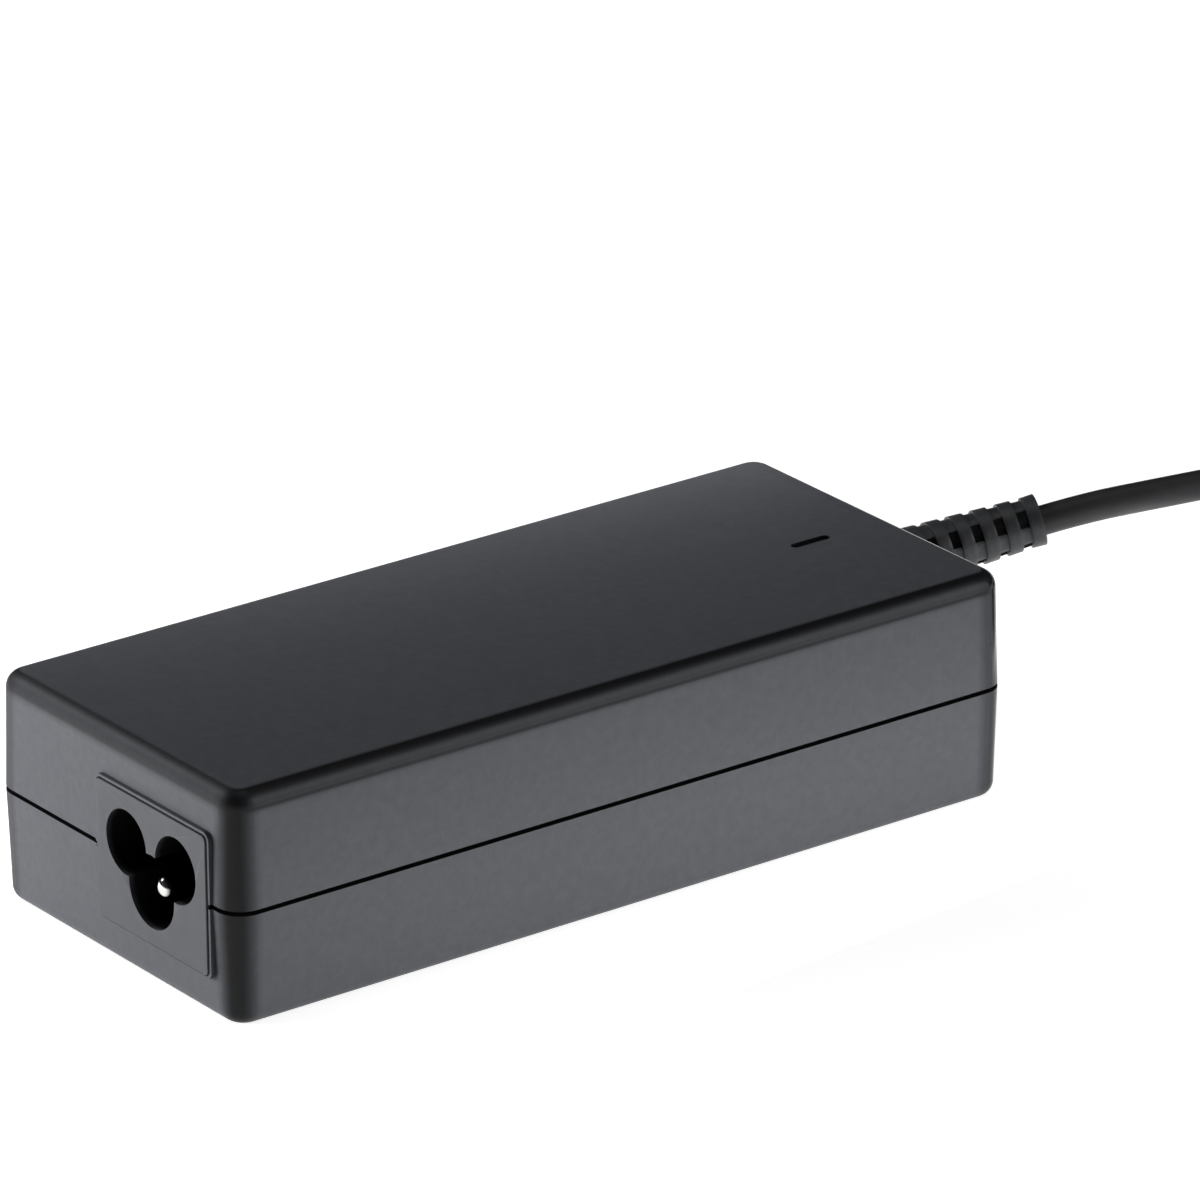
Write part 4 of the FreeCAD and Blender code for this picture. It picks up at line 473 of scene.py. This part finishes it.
def cord_jacket():
    finish = Finish("cord_jacket", (0.022, 0.022, 0.0235), roughness=0.5, specular_ior_level=0.3)
    finish.mottle(finish.noise(size=3.0, detail=4), amount=0.25)
    finish.sheen(finish.noise(size=4.0, detail=4), amount=0.06)
    finish.relief(finish.noise(size=0.18, detail=3, coarse=0.6), depth=0.005)
    finish.relief(finish.noise(size=5.0), depth=0.03)
    return finish


def laminate():
    """Glass cloth under green lacquer, with copper areas that show through it."""
    finish = Finish("laminate", (0.020, 0.115, 0.040), roughness=0.32, coat_weight=0.4, coat_roughness=0.15)
    finish.tint(finish.cells(size=4.5, feature="F1"), (0.045, 0.20, 0.070), start=0.35, stop=0.38)
    finish.sheen(finish.noise(size=1.5, detail=3), amount=0.05)
    finish.relief(finish.wave(size=0.8, direction="X"), depth=0.004)
    finish.relief(finish.wave(size=0.8, direction="Y"), depth=0.004)
    return finish


def copper_wire():
    """Lacquered wire, with its turns as relief."""
    finish = Finish("copper_wire", (0.62, 0.27, 0.11), roughness=0.28, metallic=0.85, coat_weight=0.5)
    finish.tint(finish.noise(size=2.0, detail=3), (0.45, 0.17, 0.06))
    finish.sheen(finish.noise(size=0.6, detail=3), amount=0.06)
    finish.relief(finish.wave(size=0.9, direction="Z", distortion=0.4), depth=0.22)
    return finish


def tape():
    """Yellow film, with darker bands where it overlaps."""
    finish = Finish("tape", (0.70, 0.48, 0.05), roughness=0.3, coat_weight=0.4, coat_roughness=0.2)
    overlaps = finish.wave(size=5.0, direction="X", distortion=0.2)
    finish.tint(overlaps, (0.60, 0.39, 0.035), start=0.46, stop=0.54)
    finish.sheen(finish.noise(size=2.0, detail=3), amount=0.06)
    finish.relief(finish.noise(size=2.5), depth=0.05)
    return finish


def ferrite():
    finish = Finish("ferrite", (0.045, 0.045, 0.048), roughness=0.62)
    finish.tint(finish.noise(size=0.6, detail=4, coarse=0.7), (0.085, 0.083, 0.085), start=0.5, stop=0.75)
    finish.sheen(finish.noise(size=1.5, detail=4), amount=0.1)
    finish.relief(finish.noise(size=0.35, detail=4, coarse=0.7), depth=0.02)
    return finish


def insulating_paper():
    """Pale board with fibres along the case."""
    finish = Finish("insulating_paper", (0.68, 0.64, 0.53), roughness=0.6)
    along = finish.stretched(y=0.2)
    finish.tint(finish.noise(size=0.7, detail=4, coarse=0.7, place=along), (0.55, 0.51, 0.41))
    finish.sheen(finish.noise(size=1.2, detail=3), amount=0.08)
    finish.relief(finish.noise(size=0.4, detail=4, coarse=0.7, place=along), depth=0.015)
    return finish


def metal(name, colour, roughness, along):
    """Rolled metal with fine lines along one axis, which are a little darker."""
    finish = Finish(name, colour, roughness, metallic=1.0)
    lines = finish.noise(size=0.35, detail=4, coarse=0.6, place=finish.stretched(**along))
    darker = tuple(part * 0.82 for part in colour)
    finish.tint(lines, darker)
    finish.sheen(lines, amount=0.1)
    finish.relief(lines, depth=0.004)
    return finish


def moulded(name, colour, roughness, grain, depth):
    """Plastic from a mould: a fine grain, and a faint unevenness of colour and gloss."""
    finish = Finish(name, colour, roughness)
    finish.mottle(finish.noise(size=grain * 2.5, detail=3), amount=0.12)
    finish.sheen(finish.noise(size=9, detail=4), amount=0.03)
    finish.relief(finish.noise(size=grain, detail=3, coarse=0.6), depth)
    return finish


# colour, roughness, and how much the lines are drawn out along an axis
METALS = {
    "sink_metal": ((0.70, 0.70, 0.71), 0.32, {"y": 0.05}),
    "steel": ((0.56, 0.56, 0.57), 0.26, {"z": 0.1}),
}
# colour, roughness, and the size and depth of the grain
MOULDED = {
    "wire_brown": ((0.17, 0.075, 0.03), 0.36, 0.3, 0.004),
    "wire_blue": ((0.03, 0.11, 0.42), 0.36, 0.3, 0.004),
    "wire_green": ((0.22, 0.42, 0.05), 0.36, 0.3, 0.004),
    "wire_red": ((0.52, 0.035, 0.028), 0.36, 0.3, 0.004),
    "wire_black": ((0.035, 0.035, 0.036), 0.38, 0.3, 0.004),
    "dark_resin": ((0.038, 0.038, 0.041), 0.58, 0.25, 0.015),
    "fuse_case": ((0.16, 0.085, 0.045), 0.5, 0.35, 0.01),
    "disc_coating": ((0.05, 0.15, 0.45), 0.24, 0.9, 0.03),
    "film_case": ((0.72, 0.48, 0.06), 0.34, 0.4, 0.008),
    "capacitor_sleeve": ((0.05, 0.05, 0.085), 0.22, 1.2, 0.012),
    "former_plastic": ((0.075, 0.075, 0.075), 0.55, 0.3, 0.012),
    "pad_silicone": ((0.36, 0.46, 0.58), 0.7, 0.5, 0.02),
}
PINS = ("inlet_line_pin", "inlet_neutral_pin", "inlet_earth_pin")

finishes = [
    case_plastic(), inlet_plastic(), light_window(), light_lens(),
    nickel("nickel"), nickel("pin_nickel_painted_shade", PIN_PAINTED_SHADE_FADE), soft_black(), cord_jacket(),
    laminate(), copper_wire(), tape(), ferrite(), insulating_paper(),
]
finishes += [metal(name, *looks) for name, looks in METALS.items()]
finishes += [moulded(name, *looks) for name, looks in MOULDED.items()]
materials = {finish.name: finish.material for finish in finishes}

worn = {part["node"]: part["material_slot"] for part in frame["record"]["subparts"]}
worn.update({pin: "pin_nickel_painted_shade" for pin in PINS})
for name, finish in worn.items():
    for place in nodes[name].material_slots:
        place.material = materials[finish]
cord.data.materials.clear()
cord.data.materials.append(materials["cord_jacket"])


# Moulded edges: a small round on the soft and moulded pieces that show, in millimetres

EDGE_ROUNDS = {"cable_boot": 0.16, "inlet_body": 0.1, "plug_grip": 0.12, "cord_tie": 0.1}
WELD_REACH = 0.001
ROUND_SEGMENTS = 2
SHARP_FROM = math.radians(50)
LARGE_FACE_WEIGHT = 60


def soften_edges(piece, width):
    """Joins the mesh's faces, rounds its sharp edges a little and shades them smoothly."""
    weld = piece.modifiers.new("weld", "WELD")
    weld.merge_threshold = WELD_REACH * MM
    bevel = piece.modifiers.new("round", "BEVEL")
    bevel.width = width * MM
    bevel.segments = ROUND_SEGMENTS
    bevel.limit_method = "ANGLE"
    bevel.angle_limit = SHARP_FROM
    smooth = piece.modifiers.new("smooth", "WEIGHTED_NORMAL")
    smooth.weight = LARGE_FACE_WEIGHT


for name, width in EDGE_ROUNDS.items():
    soften_edges(nodes[name], width)


# The studio: a wide pale floor, a grey room and soft lamps

FLOOR_SIZE = 8.0
FLOOR_GAP = 0.02
FLOOR_COLOUR = 0.7
FLOOR_ROUGHNESS = 0.9
FLOOR_GLOW = 0.76
ROOM_GREY = 0.03
# place and size in metres, and power in watts. These fill in like light from a pale floor or wall, and
# aren't seen in reflections
FILLS = {
    "fill_left": ((-0.21, -0.30, 0.05), (0.30, 0.09), 2.3),
    "fill_right": ((0.47, 1.21, 0.07), (1.2, 0.12), 21),
    "fill_front_right": ((0.9, 0.5, 0.15), (0.8, 0.25), 0.8),
    "card_right": ((0.05, 0.005, 0.005), (0.13, 0.008), 0.013),
    "card_back": ((0.022, 0.105, 0.005), (0.05, 0.01), 0.012),
    "card_left": ((-0.055, 0.01, 0.042), (0.15, 0.01), 0.045),
}
# these are seen in reflections as well
PANELS = {
    "overhead": ((0.0, 0.1, 1.2), (0.8, 0.8), 1.6),
    "panel_right": ((0.88, 0.68, 0.46), (0.6, 0.6), 3.4),
    "panel_left": ((-0.8, -0.42, 0.58), (0.4, 0.3), 2.0),
}


def make_floor():
    """A pale floor that shows white to the camera and in reflections, and keeps the object's shadow."""
    bpy.ops.mesh.primitive_plane_add(size=FLOOR_SIZE, location=(0, 0, -FLOOR_GAP * MM))
    floor = bpy.context.object
    floor.name = "floor"
    material = bpy.data.materials.new("floor")
    material.use_nodes = True
    tree = material.node_tree
    rays = add_node(tree, "ShaderNodeLightPath", {}).outputs
    seen = rays["Is Camera Ray"]
    for kind in ("Is Glossy Ray", "Is Transmission Ray"):
        seen = add_node(tree, "ShaderNodeMath", {0: seen, 1: rays[kind]}, operation="MAXIMUM").outputs[0]
    glow = add_node(tree, "ShaderNodeMath", {0: seen, 1: FLOOR_GLOW}, operation="MULTIPLY").outputs[0]
    fill_sockets(tree, tree.nodes["Principled BSDF"], {
        "Base Color": grey(FLOOR_COLOUR),
        "Roughness": FLOOR_ROUGHNESS,
        "Specular IOR Level": 0,
        "Emission Color": grey(1),
        "Emission Strength": glow,
    })
    floor.data.materials.append(material)


def make_room():
    world = bpy.data.worlds.new("room")
    scene.world = world
    world.use_nodes = True
    world.node_tree.nodes["Background"].inputs["Color"].default_value = grey(ROOM_GREY)


def make_lamp(name, place, size, power, reflected):
    """A soft rectangular lamp that faces the object."""
    data = bpy.data.lights.new(name, "AREA")
    data.shape = "RECTANGLE"
    data.size, data.size_y = size
    data.energy = power
    light = bpy.data.objects.new(name, data)
    scene.collection.objects.link(light)
    light.location = place
    light.rotation_mode = "QUATERNION"
    light.rotation_quaternion = (Vector(place) - TARGET).to_track_quat("Z", "Y")
    light.visible_camera = False
    light.visible_glossy = reflected


make_floor()
make_room()
for name, looks in FILLS.items():
    make_lamp(name, *looks, reflected=False)
for name, looks in PANELS.items():
    make_lamp(name, *looks, reflected=True)


scene.view_settings.view_transform = "Standard"
